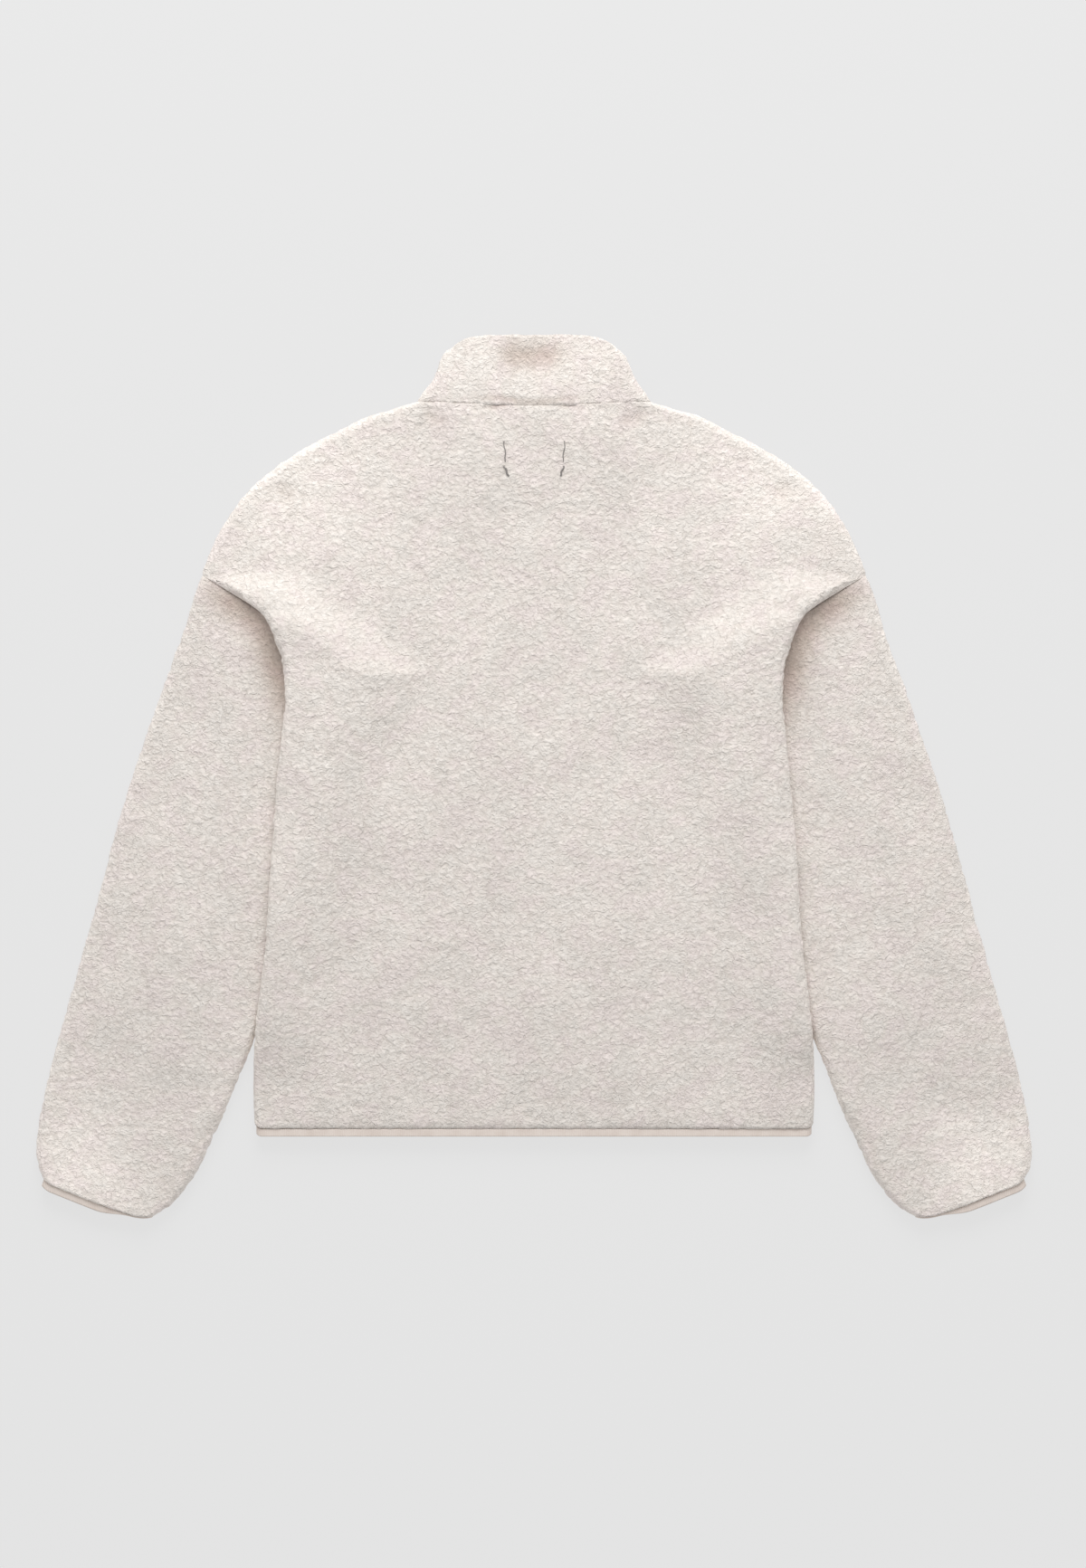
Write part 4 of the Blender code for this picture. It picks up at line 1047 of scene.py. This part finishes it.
FOREARM_CREASE = [(290.0, 24.0), (306.0, 4.0), (322.0, -22.0), (334.0, -46.0)]
SEAM_LOWER = [(-63.0, 682.0), (-54.0, 683.5), (-40.0, 682.0), (-24.0, 685.5), (0.0, 686.5)]
SEAM_LOWER += [(22.0, 685.5), (40.0, 682.0), (54.0, 683.5), (63.0, 682.0)]
SEAM_UPPER = [(-66.0, 695.0), (-58.0, 694.0), (-50.0, 689.5), (-34.0, 690.5), (-16.0, 687.5)]
SEAM_UPPER += [(0.0, 686.5), *turned(SEAM_UPPER[::-1])]
SHOULDER_SHADE = [(-108.0, 676.0), (-92.0, 670.0), (-74.0, 668.0)]
SHOULDER_DENT = [(-243.0, 612.0), (-232.0, 600.0), (-226.0, 588.0)]
HEM = [(-330.0, HEM_Y - 0.5), (330.0, HEM_Y - 0.5)]
# Shade painted on the sleeve beneath the fold's edge runs along this line.
FOLD_SHADE = [(326.0, 521.0), (308.0, 513.0), (290.0, 504.0), (271.0, 491.0), (255.0, 475.0)]
FOLD_SHADE += [(247.0, 458.0), (242.0, 440.0), (236.0, 415.0), (233.0, 385.0), (235.0, 352.0)]
# Dip below the collar's top edge, with shade painted into it.
COLLAR_DIP = [(-40.0, 733.0), (-18.0, 730.5), (0.0, 729.5), (18.0, 730.5), (42.0, 733.0)]
# Each crease: its line, half width, depth, and the darkness of the shade painted along it.
BACK_CREASES = [
    (SEAM_LOWER, 3.2, 0.9, 0.3), (HEM, 3.2, 1.3, 0.0),
    (SHOULDER_SHADE, 7.0, 1.3, 0.16), (turned(SHOULDER_SHADE), 7.0, 1.3, 0.16),
    (SHOULDER_DENT, 8.0, 1.8, 0.15), (turned(SHOULDER_DENT), 8.0, 1.6, 0.15),
]
SLEEVE_CREASES = [(FOREARM_CREASE, 4.0, 1.2, 0.08), (FOLD_SHADE, 17.0, 1.5, 0.56)]
COLLAR_CREASES = [(SEAM_UPPER, 2.8, 0.9, 0.3), (COLLAR_DIP, 13.0, 1.6, 0.45)]


def dress(made, node, material):
    """Puts a soft piece in its CAD node's place and says what cloth it is cut from."""
    made.data.materials.append(material)
    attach(made, "jacket")
    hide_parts(node)


def hem_rounded(grid):
    """Rounds the body's two lower corners."""
    across = np.abs(grid[..., 0]) - (side_edge(HEM_Y) - HEM_CORNER)
    lift = HEM_CORNER - np.sqrt(HEM_CORNER**2 - np.clip(across, 0.0, HEM_CORNER) ** 2)
    moved = grid.copy()
    moved[..., 1] += lift * np.clip(1.0 - (grid[..., 1] - HEM_Y) / HEM_CORNER_HIGH, 0.0, 1.0)
    return moved


def cuff_rounded(grid, weight=1.0):
    """Rounds the right cuff's corners, more at its inner end."""
    outer, inner, _ = sleeve_line(1.0)
    width = float(np.linalg.norm(inner - outer))
    along = (grid[..., :2] - outer) @ unit(inner - outer)
    moved = grid.copy()
    for (radius, depth), distance in zip(CUFF_CORNERS, (width - along, along)):
        into = np.clip(radius - distance, 0.0, radius) / radius
        moved[..., 1] += depth * into**2 * weight
    return moved


def make_back(material):
    sides = (both_halves(side) for side in zip(*back_rows()))
    pile, backing = refined(*sides, ROW_SPACING["back"])
    inside = np.clip(from_ends(pile.shape[1]) / STILL_POINTS - 1.0, 0.0, 1.0)
    quiet = np.maximum(inside, np.clip((pile[..., 1] - STILL_BELOW) / STILL_FADE, 0.0, 1.0))
    pile, backing = hem_rounded(pile), hem_rounded(backing)
    pile, shades = piled(pile, backing, False, PILE_STRENGTH, BACK_CREASES, quiet)
    dress(shell("cloth_back", pile, backing, shades=shades), "back", material)


def make_pair(kind, material, grids, ring=False, strength=0.0, creases=()):
    """A piece of the right side and its mirror image, each with pile of its own."""
    for side, sign in SIDES:
        top, inside = (grid * (sign, 1.0, 1.0) for grid in grids)
        shades = None
        if strength:
            lines = [(turned(line, sign), *rest) for line, *rest in creases]
            top, shades = piled(top, inside, ring, strength, lines)
        made = shell(f"cloth_{kind}_{side}", top, inside, ring, shades)
        dress(made, f"{kind}_{side}", material)


def make_sleeves(material):
    grids = refined(*sleeve_grids(), ROW_SPACING["sleeve"])
    share = np.linspace(0.0, 1.0, len(grids[0]))[:, None]
    weight = np.clip((share - CUFF_CORNERS_FROM) / (1 - CUFF_CORNERS_FROM), 0.0, 1.0) ** 2
    grids = [cuff_rounded(grid, weight) for grid in grids]
    grids[0][0, :, :2] += SEAM_OVERLAP * ARMHOLE_NORMAL
    make_pair("sleeve", material, grids, True, PILE_STRENGTH, SLEEVE_CREASES)


def make_fronts(material):
    sides = (np.array(side) for side in zip(*front_rows()))
    grids = [hem_rounded(grid) for grid in refined(*sides, ROW_SPACING["front"])]
    make_pair("front", material, grids, False, PILE_STRENGTH)


def make_collar(material):
    pile, backing = refined(*collar_grids(), ROW_SPACING["collar"])
    moved, shades = piled(pile, backing, False, COLLAR_STRENGTH, COLLAR_CREASES)
    upper = pile[0, :, 2] > EDGE_RADIUS / 2
    wander = value_noise(pile[0], 6.0, 71)
    moved[0, :, 1] -= np.where(upper, COLLAR_UNDER[0] + wander, COLLAR_UNDER_FRONT[0])
    moved[0, :, 2] += np.where(upper, COLLAR_UNDER[1], COLLAR_UNDER_FRONT[1])
    dress(shell("cloth_collar", moved, backing, shades=shades), "collar", material)


def make_bindings(material):
    spacing = ROW_SPACING["binding"]
    grids = (hem_rounded(grid) for grid in refined(*hem_binding_grids(), spacing))
    dress(shell("cloth_hem_binding", *grids), "hem_binding", material)
    grids = [cuff_rounded(grid) for grid in refined(*cuff_binding_grids(), spacing)]
    make_pair("cuff_binding", material, grids, True)


def swept(name, rings):
    """A closed rod through rings of points, with the same number of points in each."""
    around = len(rings[0])
    last = around * (len(rings) - 1)
    faces = [tuple(range(around - 1, -1, -1)), tuple(range(last, last + around))]
    for base in range(0, last, around):
        for j in range(around):
            k = (j + 1) % around
            faces.append((base + j, base + k, base + around + k, base + around + j))
    return solid_object(name, np.concatenate(rings), faces)


def make_tapes(material):
    """Zip tapes with their teeth, staggered on the two sides, wider apart above the slider."""
    count = int((ZIP_TOP_Y - ZIP_LOW_Y) / TOOTH_PITCH)
    keys = (ZIP_LOW_Y, SLIDER_LOW_Y - 8.0, SLIDER_LOW_Y - 1.0, ZIP_TOP_Y)
    spread = TAPE_SPREAD - HALF_GAP
    for side, sign in SIDES:
        rings = []
        for i in range(count + 1):
            y = ZIP_LOW_Y + (ZIP_TOP_Y - ZIP_LOW_Y) * i / count
            shift = np.interp(y, keys, (0.0, 0.0, spread, spread))
            tooth = (i + (sign > 0)) % 2 * TOOTH_STEP
            near, far, low = HALF_GAP + shift, TAPE_WIDE + shift, BEAD_LOW + tooth
            ring = [(near, low), (near + BEAD_WIDE - tooth, low), (near + BEAD_WIDE, TAPE_LOW)]
            ring += [(far, TAPE_LOW), (far, TAPE_HIGH), (near, TAPE_HIGH)]
            rings.append([(sign * x, y, z) for x, z in ring])
        made = swept("cloth_zip_tape_" + side, rings)
        dress(made, "zip_tape_" + side, material)


def make_metals():
    for node, colour, rough in METALS:
        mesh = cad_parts[node].data
        mesh.materials.clear()
        mesh.materials.append(metal_material("metal_" + node, colour, rough))


def make_tacks(material):
    """Short threads that sink into the pile at both ends."""
    for number, (start, end, thick) in enumerate(TACKS):
        start, end = np.array(start), np.array(end)
        side = unit((end - start)[::-1] * np.array((1.0, -1.0)))
        rings = []
        for part in np.linspace(0.0, 1.0, TACK_STEPS + 1):
            middle = start + part * (end - start) + side * 0.5 * math.sin(9.0 * part + number)
            height = FLAT_HEIGHT + 0.2 + 0.9 * math.sin(math.pi * part)
            ring = []
            for angle in np.arange(TACK_SIDES) * 2 * math.pi / TACK_SIDES:
                x, y = middle + side * thick * math.cos(angle)
                ring.append((x, y, height + thick * math.sin(angle)))
            rings.append(ring)
        made = swept(f"tack_thread_{number + 1}", rings)
        made.data.materials.append(material)
        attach(made, "jacket")


def make_jacket():
    pile = pile_material()
    make_back(pile)
    make_sleeves(pile)
    make_fronts(pile)
    make_collar(pile)
    make_bindings(binding_material())
    make_tapes(tape_material())
    make_metals()
    make_tacks(thread_material())


make_camera()
make_light()
make_floor()
make_jacket()
